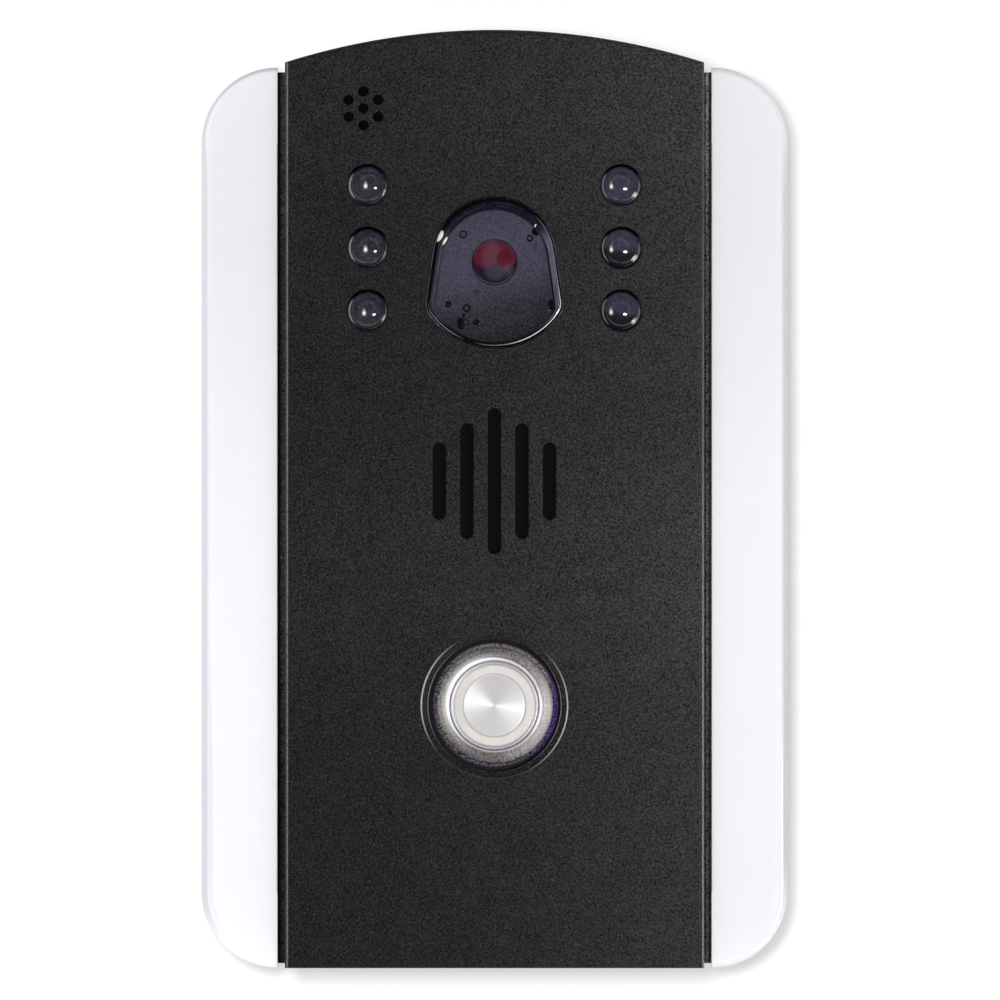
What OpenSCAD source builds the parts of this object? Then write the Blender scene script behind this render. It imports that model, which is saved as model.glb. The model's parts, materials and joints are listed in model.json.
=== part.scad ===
// Wall-mounted video doorbell: bent metal cover, acrylic wings, camera, speaker and a lit push-button.
// Every piece is drawn flat with x to the right, y up and z out of the wall, and upright() stands it up.

/* [Cover] */
// Depth from the wall to the front face of the cover
depth = 32; // [31.5:0.5:38]
// Width of the cover
cover_w = 79; // [78:0.5:84]
// Height of the cover above the centre, at the top of its arch
cover_top = 88.4; // [87:0.2:96]
// Height of the cover below the centre
cover_bottom = 88.4; // [86:0.2:96]
// Radius of the arched top edge
arch_r = 130.5; // [115:0.5:180]
// Thickness of the front skin
cover_skin = 2; // [1.6:0.1:2.4]
// Thickness of the folded sides
cover_side = 1.5; // [1.2:0.1:1.8]
// Outer radius of the front edges
cover_edge_r = 1; // [0.5:0.1:1.2]

/* [Wings] */
// Groove between the cover and each wing
wing_gap = 1.7; // [1.2:0.1:2.4]
// Width of a wing, which is also the radius of its outer corners
wing_w = 14.4; // [12:0.2:20]
// Thickness of the acrylic
wing_t = 5; // [4:0.5:8]
// Height of the wings above the centre
wing_top = 81.9; // [76:0.1:84]
// Height of the wings below the centre
wing_bottom = 89; // [86:0.1:92]
// Radius of the polished outer edge
wing_edge_r = 1.3; // [0.6:0.1:1.8]

/* [Rear housing] */
// Thickness of the foam on the wall side
gasket_t = 1.5; // [1:0.1:2]
// Thickness of the back wall
back_t = 2.5; // [2:0.1:3]
// Thickness of the ears behind the wings
ear_t = 3; // [2.6:0.1:3.4]
// Thickness of the side walls
wall_t = 2; // [1.6:0.1:2.2]
// How far the ears stay behind the outline of the wings
ear_inset = 0.8; // [0.5:0.1:3]
// Height of the seal between the housing's rim and the cover
seal_h = 2; // [1.2:0.1:3]

/* [Wall fixing] */
// Radius of the four wall-screw holes
wall_hole_r = 2.25; // [1.8:0.05:2.75]
// Spacing of the wall-screw holes across
wall_hole_dx = 50; // [40:1:54]
// Spacing of the wall-screw holes up and down
wall_hole_dz = 130; // [116:1:136]
// Radius of the bore for the cable
cable_r = 4; // [2.5:0.25:5]
// Distance of the cable entry below the centre
cable_drop = 66; // [60:0.5:68]

/* [Carrier] */
// Thickness of the carrier plate behind the cover
carrier_t = 1.5; // [1.2:0.1:1.8]
// Radius of the studs on the back of the cover
stud_r = 1.5; // [1.25:0.05:1.75]
// Distance of the studs from the side of the cover
stud_edge = 7.9; // [7.7:0.1:8.5]

/* [Camera window] */
// Radius of the window's rounded top
window_top_r = 11.7; // [11:0.1:12.5]
// Height of the centre of that radius
window_z = 45.2; // [44.6:0.1:46]
// Radius of the lower corners
window_corner_r = 4; // [3:0.1:5]
// Distance of each lower corner's centre from the middle
window_corner_x = 9; // [8:0.1:9.5]
// Distance of the lower corners' centres below the top radius's centre
window_corner_drop = 8.3; // [7.5:0.1:9]
// Distance from the top radius's centre to the window's lowest point
window_drop = 16.8; // [16.4:0.1:17.6]
// How far the window stands out of the cover
window_proud = 0.9; // [0.4:0.1:1.5]
// Thickness of the clear window
window_t = 2.2; // [1.6:0.1:2.4]
// Width of the window's flange behind the cover
window_flange_w = 2.2; // [1.8:0.1:2.5]
// Thickness of the window's flange
window_flange_t = 1.2; // [1:0.1:1.4]
// Height of the lens axis
lens_z = 44.7; // [44:0.1:45.4]
// Radius of the front glass of the lens
lens_r = 4.15; // [3.6:0.05:4.6]

/* [Infrared lamps] */
// Radius of a lamp
led_r = 3.75; // [3:0.05:3.9]
// Distance of the two lamp columns from the middle
led_x = 23.9; // [23.4:0.1:24.2]
// Height of the middle lamp of each column
led_z = 47.3; // [46:0.1:48]
// Pitch of the lamps in a column
led_pitch = 11.8; // [11.4:0.1:12.4]
// How far a lamp stands out of the cover
led_proud = 1.4; // [1:0.1:2]

/* [Microphone] */
// Distance of the microphone to the left of the middle
mic_x = 24.7; // [23:0.1:25]
// Height of the microphone
mic_z = 73.6; // [73:0.1:74.5]
// Radius of a microphone hole
mic_hole_r = 1; // [0.7:0.05:1.2]
// Radius of the ring of microphone holes
mic_ring_r = 3.2; // [2.8:0.1:3.4]

/* [Speaker] */
// Height of the speaker
speaker_z = 3.35; // [2.5:0.05:3.6]
// Outer radius of the speaker
speaker_r = 18; // [17:0.1:18.2]
// Width of a speaker slot
slot_w = 2.45; // [1.8:0.05:3]
// Pitch of the speaker slots
slot_pitch = 5.19; // [4.2:0.01:5.4]
// Length of the middle slot
slot_middle = 27.5; // [22:0.1:28]
// Length of the slots next to the middle
slot_inner = 21.7; // [16:0.1:22]
// Length of the outermost slots
slot_outer = 14.5; // [10:0.1:15]

/* [Push-button] */
// Distance of the button below the centre
button_drop = 38.9; // [38.7:0.1:42]
// Radius of the button's bezel
bezel_r = 11; // [10.6:0.1:11.8]
// Thickness of the bezel
bezel_t = 1.8; // [1.4:0.1:2.4]
// Radius of the bore in which the cap slides
bore_r = 8.5; // [8.2:0.05:8.7]
// Radius of the threaded bushing
bushing_r = 9.4; // [9.2:0.05:9.8]
// Radius of the hole in the cover round the bezel
recess_r = 12.5; // [12.2:0.1:13]
// Width of the bevel round that hole
recess_bevel = 1.5; // [0.8:0.1:1.7]
// Travel of the button
travel = 2; // [1:0.1:2.3]
// Outer radius of the lit ring
ring_r = 7.75; // [7.2:0.05:7.85]
// Radius of the centre disc
disc_r = 5.9; // [5:0.05:6.4]

/* [Circuit boards] */
// Thickness of the circuit boards
board_t = 1.6; // [1:0.1:2]
// Gap between the main board and each side wall of the housing
board_side_gap = 3.7; // [2:0.1:5]
// Height of the main board
board_h = 51; // [50:0.5:51]
// Length of the spacers that carry the main board
spacer_len = 9.6; // [9.5:0.1:10.2]

/* [Hidden] */
$fn = 72;

fit = 0.3;         // gap between pieces that only pass each other
slip = 0.05;       // radial gap of pieces that locate in each other
cut = 1;           // how far a cutting body runs past a face

// Levels above the wall
housing_back = gasket_t;
floor_v = gasket_t + back_t;
ear_v = gasket_t + ear_t;
skin_v = depth - cover_skin;
carrier_v = skin_v - carrier_t;
rim_v = skin_v - seal_h;

// Places across
cover_half = cover_w / 2;
housing_in = cover_side + fit;
carrier_in = housing_in + wall_t + fit + 0.2;
wing_x = cover_half + wing_gap;
arch_z = cover_top - arch_r;

// Screws
m2_r = 0.95;
m2_head_r = 1.9;
m2_head_h = 1.4;
m2_len = 2.8;
m3_r = 1.45;
m3_head_r = 2.8;
m3_head_h = 1.35;

// Stands a flat drawing up: y becomes height, and z points out of the wall
module upright() { rotate([90, 0, 0]) children(); }

// Extrudes a flat outline between two levels above the wall
module slab(low, high) { translate([0, 0, low]) linear_extrude(high - low) children(); }

// Places its children at x and at -x
module both_sides() {
    children();
    mirror([1, 0, 0]) children();
}

// Cylinder between two levels
module post(at, r, low, high) { translate([at[0], at[1], low]) cylinder(h = high - low, r = r); }

// Ring between two levels
module ring(at, r_in, r_out, low, high) {
    difference() {
        post(at, r_out, low, high);
        post(at, r_in, low - cut, high + cut);
    }
}

// Cuboid centred on a place, between two levels
module block(at, size, low, high) {
    translate([at[0] - size[0] / 2, at[1] - size[1] / 2, low]) cube([size[0], size[1], high - low]);
}

// Rectangle with one rounded corner, at its upper right
module one_round_corner(w, h, r) {
    square([w, h - r]);
    square([w - r, h]);
    translate([w - r, h - r]) circle(r);
}

// Points of an arc, from one angle to another
function arc_points(centre, r, from, to, steps) =
    [for (i = [0:steps]) let (a = from + (to - from) * i / steps) centre + r * [cos(a), sin(a)]];

function unit(v) = v / norm(v);

// ---- Cover ----

// Outline of the cover, moved in by a distance
module cover_outline(inset) {
    intersection() {
        translate([-cover_half + inset, -cover_bottom + inset])
            square([cover_w - 2 * inset, cover_bottom + cover_top]);
        translate([0, arch_z]) circle(arch_r - inset, $fn = 360);
    }
}

stud_over_board = 2.5;

lug_w = 15;
lug_reach = 1.7;
lug_low = ear_v + 5.3;
lug_high = lug_low + 2.4;
lug_z = cover_top - cover_side;

stud_x = cover_half - stud_edge;
stud_places = [[stud_x, board_h / 2 + stud_over_board], [stud_x, speaker_z], [stud_x, -62]];
top_stud = [0, 77];
stud_tip = carrier_v - 3.2;

security_x = 24;
security_v = 14;

slot_lengths = [slot_outer, slot_inner, slot_middle, slot_inner, slot_outer];
led_places = [for (i = [-1:1]) [led_x, led_z + i * led_pitch]];
button_at = [0, -button_drop];
speaker_at = [0, speaker_z];
mic_at = [-mic_x, mic_z];
led_hole_r = led_r + 0.25;

module cover_body() {
    intersection() {
        // folded side edges
        translate([0, cover_top, 0]) rotate([90, 0, 0]) linear_extrude(cover_top + cover_bottom)
            both_sides() one_round_corner(cover_half, depth, cover_edge_r);
        // arched top edge
        translate([0, arch_z, 0]) rotate_extrude($fn = 360) one_round_corner(arch_r, depth, cover_edge_r);
        // bottom edge
        translate([-cover_w, 0, 0]) rotate([90, 0, 90]) linear_extrude(2 * cover_w)
            translate([cover_top, 0]) mirror([1, 0])
                one_round_corner(cover_top + cover_bottom, depth, cover_edge_r);
    }
}

module slot_hole(at, w, l) {
    block(at, [w, l - w], skin_v - cut, depth + cut);
    for (end = [-1, 1]) post([at[0], at[1] + end * (l - w) / 2], w / 2, skin_v - cut, depth + cut);
}

module faceplate() color([0.14, 0.14, 0.14]) upright() {
    difference() {
        cover_body();
        slab(-cut, skin_v) cover_outline(cover_side);
        slab(-cut, ear_v + fit) square([2 * cover_w, 3 * cover_top], center = true);
        // microphone holes
        for (i = [0:5])
            post(mic_at + mic_ring_r * [sin(60 * i), cos(60 * i)], mic_hole_r, skin_v - cut, depth + cut);
        post(mic_at, mic_hole_r, skin_v - cut, depth + cut);
        // lamp holes
        both_sides() for (at = led_places) post(at, led_hole_r, skin_v - cut, depth + cut);
        // camera window
        slab(skin_v - cut, depth + cut) window_outline(-slip);
        // speaker slots
        for (i = [-2:2]) slot_hole([i * slot_pitch, speaker_z], slot_w, slot_lengths[i + 2]);
        // hole round the button, with its bevel
        post(button_at, recess_r, skin_v - cut, depth + cut);
        translate([button_at[0], button_at[1], depth - recess_bevel / 2])
            cylinder(h = recess_bevel / 2 + 0.01, r1 = recess_r, r2 = recess_r + recess_bevel + 0.02);
        // security screws, from below
        both_sides() translate([security_x, -cover_bottom, security_v]) rotate([-90, 0, 0]) {
            translate([0, 0, -cut]) cylinder(h = cover_side + 2 * cut, r = m3_r + 0.15);
            cylinder(h = m3_head_h, r1 = m3_head_r, r2 = m3_r + 0.15);
        }
    }
    // studs for the carrier
    both_sides() for (at = stud_places) post(at, stud_r, stud_tip, skin_v);
    post(top_stud, stud_r, stud_tip, skin_v);
    // lug that hooks the top of the housing
    difference() {
        block([0, lug_z - lug_reach / 2], [lug_w, lug_reach + 1], lug_low, lug_high);
        difference() {
            block([0, lug_z], [2 * lug_w, 6], lug_low - cut, lug_high + cut);
            slab(lug_low - 2 * cut, lug_high + 2 * cut) cover_outline(cover_side - 0.2);
        }
    }
}

module security_screws() color([0.75, 0.75, 0.77]) upright() {
    both_sides() translate([security_x, -cover_bottom, security_v]) rotate([-90, 0, 0]) {
        difference() {
            union() {
                translate([0, 0, 0.1]) cylinder(h = m3_head_h - 0.1, r1 = m3_head_r - 0.15, r2 = m3_r);
                translate([0, 0, 0.1]) cylinder(h = 8.5, r = m3_r);
            }
            translate([0, 0, -cut]) cylinder(h = cut + 1, r = 1, $fn = 6);
        }
    }
}

// ---- Wings ----

// Outline of the right wing, moved in by a distance along its outer edge
module wing_outline(inset) {
    r = wing_w - inset;
    intersection() {
        translate([wing_x, -wing_bottom - cut]) square([wing_w, wing_top + wing_bottom + 2 * cut]);
        union() {
            translate([wing_x, wing_top - wing_w]) circle(r);
            translate([wing_x, -wing_bottom + wing_w]) circle(r);
            translate([wing_x, -wing_bottom + wing_w]) square([r, wing_top + wing_bottom - 2 * wing_w]);
        }
    }
}

wing_screw_heights = [-62, -4, 56];
wing_screw_x = wing_x + 6;
wing_screw_reach = 2.8;

// Right wing: one profile drawn straight up the side and turned round both corners
module wing() {
    difference() {
        union() {
            translate([wing_x, -wing_bottom + wing_w, 0]) rotate([90, 0, 0]) mirror([0, 0, 1])
                linear_extrude(wing_top + wing_bottom - 2 * wing_w) wing_profile();
            translate([wing_x, wing_top - wing_w, 0]) rotate_extrude(angle = 90) wing_profile();
            translate([wing_x, -wing_bottom + wing_w, 0]) rotate([0, 0, -90])
                rotate_extrude(angle = 90) wing_profile();
        }
        for (z = wing_screw_heights)
            post([wing_screw_x, z], m3_r + slip, ear_v - cut, ear_v + wing_screw_reach + 0.5);
    }
}

module wing_profile() { translate([0, ear_v]) one_round_corner(wing_w, wing_t, wing_edge_r); }

module right_wing() color([0.93, 0.94, 0.97]) upright() wing();

module left_wing() color([0.93, 0.94, 0.97]) upright() mirror([1, 0, 0]) wing();

module wing_screws() color([0.7, 0.7, 0.72]) upright() {
    both_sides() for (z = wing_screw_heights) translate([wing_screw_x, z, housing_back + 0.1]) {
        cylinder(h = m3_head_h, r1 = m3_head_r, r2 = m3_r);
        cylinder(h = ear_t - 0.1 + wing_screw_reach, r = m3_r);
    }
}

// ---- Rear housing ----

grommet_hole_r = cable_r + 3;
cable_at = [0, -cable_drop];
wall_boss_r = wall_hole_r + 2.75;
wall_boss_h = 1.5;
security_boss_r = 3.5;
security_boss_top = -cover_bottom + housing_in + wall_t + 7.5;
rib_t = 1.2;
rib_h = 1;
rib_heights = [-50, 26, 48];

module rear_housing() color([0.1, 0.1, 0.11]) upright() {
    difference() {
        union() {
            slab(housing_back, floor_v) cover_outline(housing_in);
            slab(housing_back, rim_v) difference() {
                cover_outline(housing_in);
                cover_outline(housing_in + wall_t);
            }
            both_sides() {
                slab(housing_back, ear_v) wing_outline(ear_inset);
                slab(housing_back, ear_v) translate([cover_half - housing_in - 1, -wing_bottom + ear_inset])
                    square([wing_gap + housing_in + 1.1, wing_top + wing_bottom - 2 * ear_inset]);
                // stiffening ribs
                for (z = rib_heights) translate([0, z - rib_t / 2, floor_v - cut])
                    cube([cover_half - housing_in - wall_t / 2, rib_t, cut + rib_h]);
                // bosses of the wall screws
                for (side = [-1, 1]) post([wall_hole_dx / 2, side * wall_hole_dz / 2], wall_boss_r,
                    floor_v - cut, floor_v + wall_boss_h);
                // bosses of the security screws
                translate([security_x, -cover_bottom + housing_in, security_v]) rotate([-90, 0, 0])
                    cylinder(h = security_boss_top + cover_bottom - housing_in, r = security_boss_r);
            }
        }
        both_sides() {
            for (side = [-1, 1]) post([wall_hole_dx / 2, side * wall_hole_dz / 2], wall_hole_r, 0, depth);
            for (z = wing_screw_heights) translate([wing_screw_x, z, housing_back]) {
                translate([0, 0, -cut]) cylinder(h = ear_t + 2 * cut, r = m3_r + 0.15);
                cylinder(h = m3_head_h + 0.15, r1 = m3_head_r + 0.15, r2 = m3_r + 0.15);
            }
            translate([security_x, -cover_bottom, security_v]) rotate([-90, 0, 0])
                cylinder(h = 9.2, r = m3_r + slip);
        }
        post(cable_at, grommet_hole_r, 0, depth);
        // slot for the lug of the cover
        block([0, cover_top - housing_in - wall_t / 2], [lug_w + 2 * fit, wall_t + 4],
            lug_low - fit, lug_high + fit);
    }
}

module wall_gasket() color([0.16, 0.16, 0.17]) upright() difference() {
    slab(0, gasket_t) cover_outline(housing_in + 1);
    both_sides() for (side = [-1, 1])
        post([wall_hole_dx / 2, side * wall_hole_dz / 2], wall_hole_r + 1.25, -cut, gasket_t + cut);
    post(cable_at, grommet_hole_r + 2.4, -cut, gasket_t + cut);
}

module cable_grommet() color([0.07, 0.07, 0.07]) upright() translate([cable_at[0], cable_at[1], 0])
    rotate_extrude() polygon([
        [cable_r, 0.3], [grommet_hole_r + 2, 0.3], [grommet_hole_r + 2, housing_back],
        [grommet_hole_r - slip, housing_back], [grommet_hole_r - slip, floor_v],
        [grommet_hole_r + 1.6, floor_v], [grommet_hole_r + 0.6, floor_v + 1.4],
        [cable_r + 1.2, floor_v + 4], [cable_r, floor_v + 4]]);

module housing_seal() color([0.25, 0.25, 0.26]) upright() slab(rim_v, skin_v) difference() {
    cover_outline(housing_in);
    cover_outline(housing_in + wall_t);
}

// ---- Carrier plate ----

clip_angles = [25, 155, 270];
clip_out = speaker_r + 2.6;
clip_boss_r = 2;
window_opening = -window_flange_w - fit;
mask_screw_places = [[0, window_z + window_top_r + 5.5], [0, window_z - window_drop - 4.1]];
mic_boot_r = mic_ring_r + mic_hole_r + 2;
speaker_open_r = speaker_r - 1;
basket_rim_t = 1.2;
basket_back_v = carrier_v - basket_rim_t;

module carrier_plate() color([0.10, 0.10, 0.12]) upright() difference() {
    union() {
        slab(carrier_v, skin_v) cover_outline(carrier_in);
        // bosses of the speaker clips
        for (a = clip_angles) post(speaker_at + clip_out * [cos(a), sin(a)], clip_boss_r,
            basket_back_v, carrier_v + 0.5);
    }
    both_sides() {
        for (at = stud_places) post(at, stud_r + 0.2, carrier_v - cut, skin_v + cut);
        for (at = led_places) post(at, led_r + 0.8, carrier_v - cut, skin_v + cut);
    }
    post(top_stud, stud_r + 0.2, carrier_v - cut, skin_v + cut);
    slab(carrier_v - cut, skin_v + cut) window_outline(window_opening);
    for (at = mask_screw_places) post(at, m2_r + slip, carrier_v - cut, skin_v + cut);
    for (a = clip_angles) post(speaker_at + clip_out * [cos(a), sin(a)], m2_r + slip,
        basket_back_v - cut, skin_v + cut);
    post(mic_at, mic_boot_r + 0.1, carrier_v - cut, skin_v + cut);
    post(speaker_at, speaker_open_r, carrier_v - cut, skin_v + cut);
    post(button_at, bushing_r + 0.1, carrier_v - cut, skin_v + cut);
}

nut_h = 2.4;

module carrier_nuts() color([0.78, 0.76, 0.7]) upright() {
    both_sides() for (at = stud_places) nut_on_stud(at);
    nut_on_stud(top_stud);
}

module nut_on_stud(at) {
    translate([at[0], at[1], carrier_v - nut_h]) difference() {
        cylinder(h = nut_h, r = 3.17, $fn = 6);
        translate([0, 0, -cut]) cylinder(h = nut_h + 2 * cut, r = stud_r + slip);
    }
}

// ---- Camera ----

// Outline of the window: a round top, two straight flanks, two small corners and a shallow round foot.
// Each stretch is an arc, so moving the outline in by a distance only makes every radius smaller.
module window_outline(inset) {
    span = norm([window_corner_x, window_corner_drop]);
    lean = atan2(window_corner_drop, window_corner_x);
    flank = acos((window_top_r - window_corner_r) / span) - lean;
    // centre of the foot's arc, which touches both corner arcs and the lowest point
    reach = window_drop - window_corner_drop - window_corner_r;
    foot_rise = (window_corner_x * window_corner_x - reach * reach) / (2 * reach);
    foot_r = foot_rise + reach + window_corner_r;
    foot_z = window_z - window_corner_drop + foot_rise;
    foot_lean = -atan2(foot_rise, window_corner_x);
    corner_z = window_z - window_corner_drop;
    polygon(concat(
        arc_points([0, window_z], window_top_r - inset, flank, 180 - flank, 28),
        arc_points([-window_corner_x, corner_z], window_corner_r - inset, 180 - flank, 180 - foot_lean, 6),
        arc_points([0, foot_z], foot_r - inset, 181 - foot_lean, 359 + foot_lean, 14),
        arc_points([window_corner_x, corner_z], window_corner_r - inset, 360 + foot_lean, 360 + flank, 6)));
}

window_gasket_t = 0.4;
window_front = depth + window_proud;
window_edge = 0.6;
flange_front = skin_v - window_gasket_t;
flange_back = flange_front - window_flange_t;
pocket_depth = 2.2;
mask_t = 3.8;
mask_back = flange_back - mask_t;
plateau_v = flange_back - pocket_depth;
pocket_rim_in = 0.6;
pocket_floor_in = 1.85;
pocket_floor_drop = 0.6;

module camera_window() color([0.3, 0.28, 0.34, 0.6]) upright() difference() {
    union() {
        slab(flange_back, flange_front) window_outline(-window_flange_w);
        slab(flange_front, window_front - window_edge) window_outline(slip + 0.1);
        hull() {
            slab(window_front - window_edge, window_front - window_edge + 0.01) window_outline(slip + 0.1);
            slab(window_front - 0.01, window_front) window_outline(slip + 0.1 + window_edge);
        }
    }
    slab(flange_back - cut, window_front - window_t) window_outline(1.5);
}

module window_gasket() color([0.12, 0.12, 0.12]) upright() slab(flange_front, skin_v) difference() {
    window_outline(-window_flange_w);
    window_outline(-slip);
}

mask_leg_places = [[11, -7.1], [9.2, 8.2]];
mask_leg_r = 2;
barrel_r = 6;
camera_board_front = carrier_v - 17.3;
camera_board_back = camera_board_front - board_t + 0.4;
camera_board_z = lens_z - 0.2;
camera_board_w = 28;

module camera_mask() color([0.28, 0.26, 0.33]) upright() difference() {
    union() {
        slab(mask_back, flange_back) window_outline(-window_flange_w);
        for (at = mask_screw_places) {
            post(at, 2.4, flange_back - 1.4, flange_back);
            block([0, (at[1] + lens_z) / 2], [4.8, abs(at[1] - lens_z)], flange_back - 1.4, flange_back);
        }
        both_sides() for (at = mask_leg_places)
            post([at[0], lens_z + at[1]], mask_leg_r, camera_board_front, mask_back + 0.5);
    }
    // tapered pocket behind the window
    hull() {
        slab(flange_back, flange_back + cut) window_outline(pocket_rim_in);
        translate([0, -pocket_floor_drop, 0])
            slab(plateau_v, plateau_v + 0.01) window_outline(pocket_floor_in);
    }
    post([0, lens_z], lens_r + 0.15, mask_back - cut, flange_back);
    post([0, lens_z], barrel_r + 1.3, mask_back - cut, plateau_v - 0.8);
    for (at = mask_screw_places) post(at, m2_r + 0.15, mask_back - cut, flange_back + cut);
    both_sides() for (at = mask_leg_places)
        post([at[0], lens_z + at[1]], m2_r + slip, camera_board_front - cut, camera_board_front + 3.5);
}

barrel_front = plateau_v - 0.9;
glass_seat = barrel_front - 1.4;
holder_front = camera_board_front + 6.8;
barrel_back = camera_board_front + 3.3;
iris_r = 2.2;
holder_w = 14;

module lens_element() color([0.45, 0.1, 0.14]) upright() translate([0, lens_z, 0]) rotate_extrude()
    intersection() {
        translate([0, glass_seat]) square([lens_r, 4]);
        translate([0, glass_seat + 2.3 - 9]) circle(9, $fn = 200);
    }

module lens_barrel() color([0.06, 0.06, 0.06]) upright() translate([0, lens_z, 0]) rotate_extrude()
    polygon([[iris_r, barrel_back], [barrel_r, barrel_back], [barrel_r, barrel_front - 4.6],
        [barrel_r + 1, barrel_front - 4.2], [barrel_r + 1, barrel_front], [lens_r + slip, barrel_front],
        [lens_r + slip, glass_seat], [iris_r, glass_seat - 1]]);

module lens_holder() color([0.09, 0.09, 0.1]) upright() difference() {
    block([0, lens_z], [holder_w, holder_w], camera_board_front, holder_front);
    block([0, lens_z], [holder_w - 4, holder_w - 4], camera_board_front - cut, barrel_back - 0.4);
    post([0, lens_z], barrel_r + slip, camera_board_front, holder_front + cut);
    // glue notches
    for (side = [-1, 1]) block([side * holder_w / 2, lens_z], [1.6, 3],
        camera_board_front - cut, camera_board_front + 1.2);
}

module image_sensor() color([0.2, 0.35, 0.4]) upright()
    block([0, lens_z], [9, 8], camera_board_front, camera_board_front + 1.1);

module camera_board() color([0.05, 0.3, 0.14]) upright() difference() {
    block([0, camera_board_z], [camera_board_w, camera_board_w], camera_board_back, camera_board_front);
    both_sides() for (at = mask_leg_places)
        post([at[0], lens_z + at[1]], m2_r + 0.15, camera_board_back - cut, camera_board_front + cut);
}

// ---- Infrared lamps ----

led_back = carrier_v - 2.5;
led_shoulder = depth - 1;
led_tip = depth + led_proud;
led_dome_h = led_tip - led_shoulder;
led_dome_r = (led_r * led_r + led_dome_h * led_dome_h) / (2 * led_dome_h);
led_board_front = carrier_v - 4.3;
led_board_back = led_board_front - board_t + 0.4;
led_board_w = 8.4;
led_board_h = 2 * led_pitch + 12.4;
led_lead_r = 0.3;

module ir_leds() color([0.22, 0.2, 0.27]) upright() both_sides() for (at = led_places)
    translate([at[0], at[1], 0]) rotate_extrude() intersection() {
        union() {
            translate([0, led_back]) square([led_r, led_tip - led_back]);
            translate([0, carrier_v]) square([led_r + 0.6, 1]);
        }
        union() {
            translate([0, led_back]) square([led_r + 1, led_shoulder - led_back]);
            translate([0, led_tip - led_dome_r]) circle(led_dome_r);
        }
    }

module led_leads() color([0.8, 0.8, 0.78]) upright() both_sides() for (at = led_places, side = [-1, 1])
    post([at[0] + side * 1.27, at[1]], led_lead_r, led_board_back - 0.8, led_back);

module led_boards() color([0.05, 0.3, 0.14]) upright() both_sides() difference() {
    block([led_x, led_z], [led_board_w, led_board_h], led_board_back, led_board_front);
    for (at = led_places, side = [-1, 1])
        post([at[0] + side * 1.27, at[1]], led_lead_r + slip, led_board_back - cut, led_board_front + cut);
    for (side = [-1, 1]) post([led_x, led_z + side * led_pitch / 2], m2_r + 0.15,
        led_board_back - cut, led_board_front + cut);
}

// ---- Microphone ----

capsule_r = 4.8;
capsule_back = carrier_v - 6.3;
capsule_front = skin_v - 1.2;

module mic_boot() color([0.08, 0.08, 0.08]) upright() translate([mic_at[0], mic_at[1], 0])
    rotate_extrude() polygon([
        [capsule_r + slip, capsule_back - 0.2], [mic_boot_r, capsule_back - 0.2],
        [mic_boot_r, carrier_v - 1.2], [mic_boot_r + 1, carrier_v - 1.2], [mic_boot_r + 1, carrier_v],
        [mic_boot_r, carrier_v], [mic_boot_r, skin_v], [mic_ring_r + mic_hole_r + 0.2, skin_v],
        [mic_ring_r + mic_hole_r + 0.2, capsule_front], [capsule_r + slip, capsule_front]]);

module mic_capsule() color([0.7, 0.7, 0.72]) upright() {
    post(mic_at, capsule_r, capsule_back, capsule_front);
    for (side = [-1, 1]) post(mic_at + [side * 1.27, 0], 0.6, capsule_back - 0.6, capsule_back);
}

// ---- Speaker ----

mesh_t = 0.3;
mesh_r = speaker_open_r - 0.1;
cone_seat = basket_back_v + 0.6;
cone_rim_r = speaker_r - 1.7;
basket_floor = carrier_v - 5.8;
magnet_r = 8.5;
tab_at = [speaker_r + 1.2, speaker_z];

module speaker_mesh() color([0.05, 0.05, 0.05]) upright() post(speaker_at, mesh_r, skin_v - mesh_t, skin_v);

module speaker_gasket() color([0.18, 0.18, 0.18]) upright()
    ring(speaker_at, speaker_r - 2.8, mesh_r, carrier_v, skin_v - mesh_t);

module speaker_basket() color([0.6, 0.6, 0.62]) upright() {
    difference() {
        translate([speaker_at[0], speaker_at[1], 0]) rotate_extrude() polygon([
            [magnet_r + 1, basket_floor], [speaker_r - 1.2, basket_back_v], [speaker_r, basket_back_v],
            [speaker_r, carrier_v], [cone_rim_r + 0.1, carrier_v], [cone_rim_r + 0.1, cone_seat],
            [speaker_r - 2.9, cone_seat], [magnet_r + 0.6, basket_floor + 0.9],
            [3, basket_floor + 0.9], [3, basket_floor]]);
        // windows in the basket
        for (a = [45:90:315]) translate([speaker_at[0], speaker_at[1], 0]) rotate([0, 0, a])
            translate([speaker_r * 0.68, 0, basket_floor + 1.2]) cylinder(h = 2.2, r = 2.2);
    }
    // solder tab
    block([tab_at[0] + 0.1, tab_at[1]], [3, 5], basket_back_v, basket_back_v + 0.8);
}

module speaker_cone() color([0.14, 0.14, 0.15]) upright() translate([speaker_at[0], speaker_at[1], 0])
    rotate_extrude() polygon(concat(
        [[cone_rim_r, cone_seat], [cone_rim_r, cone_seat + 0.4]],
        [for (i = [0:8]) [cone_rim_r - 1.1 - i * 0.3, cone_seat + 0.4 + 0.9 * sin(i * 22.5)]],
        [[5, cone_seat - 1.4], [4, cone_seat - 0.8], [2.2, cone_seat - 0.3], [0, cone_seat - 0.1],
            [0, cone_seat - 0.5], [2, cone_seat - 0.7], [3.7, cone_seat - 1.2], [4.9, cone_seat - 1.8],
            [5.6, cone_seat - 1.6]],
        [for (i = [8:-1:0]) [cone_rim_r - 1.1 - i * 0.3, cone_seat + 0.9 * sin(i * 22.5)]]));

module speaker_magnet() color([0.3, 0.3, 0.32]) upright()
    post(speaker_at, magnet_r, basket_floor - 3.2, basket_floor);

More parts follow.
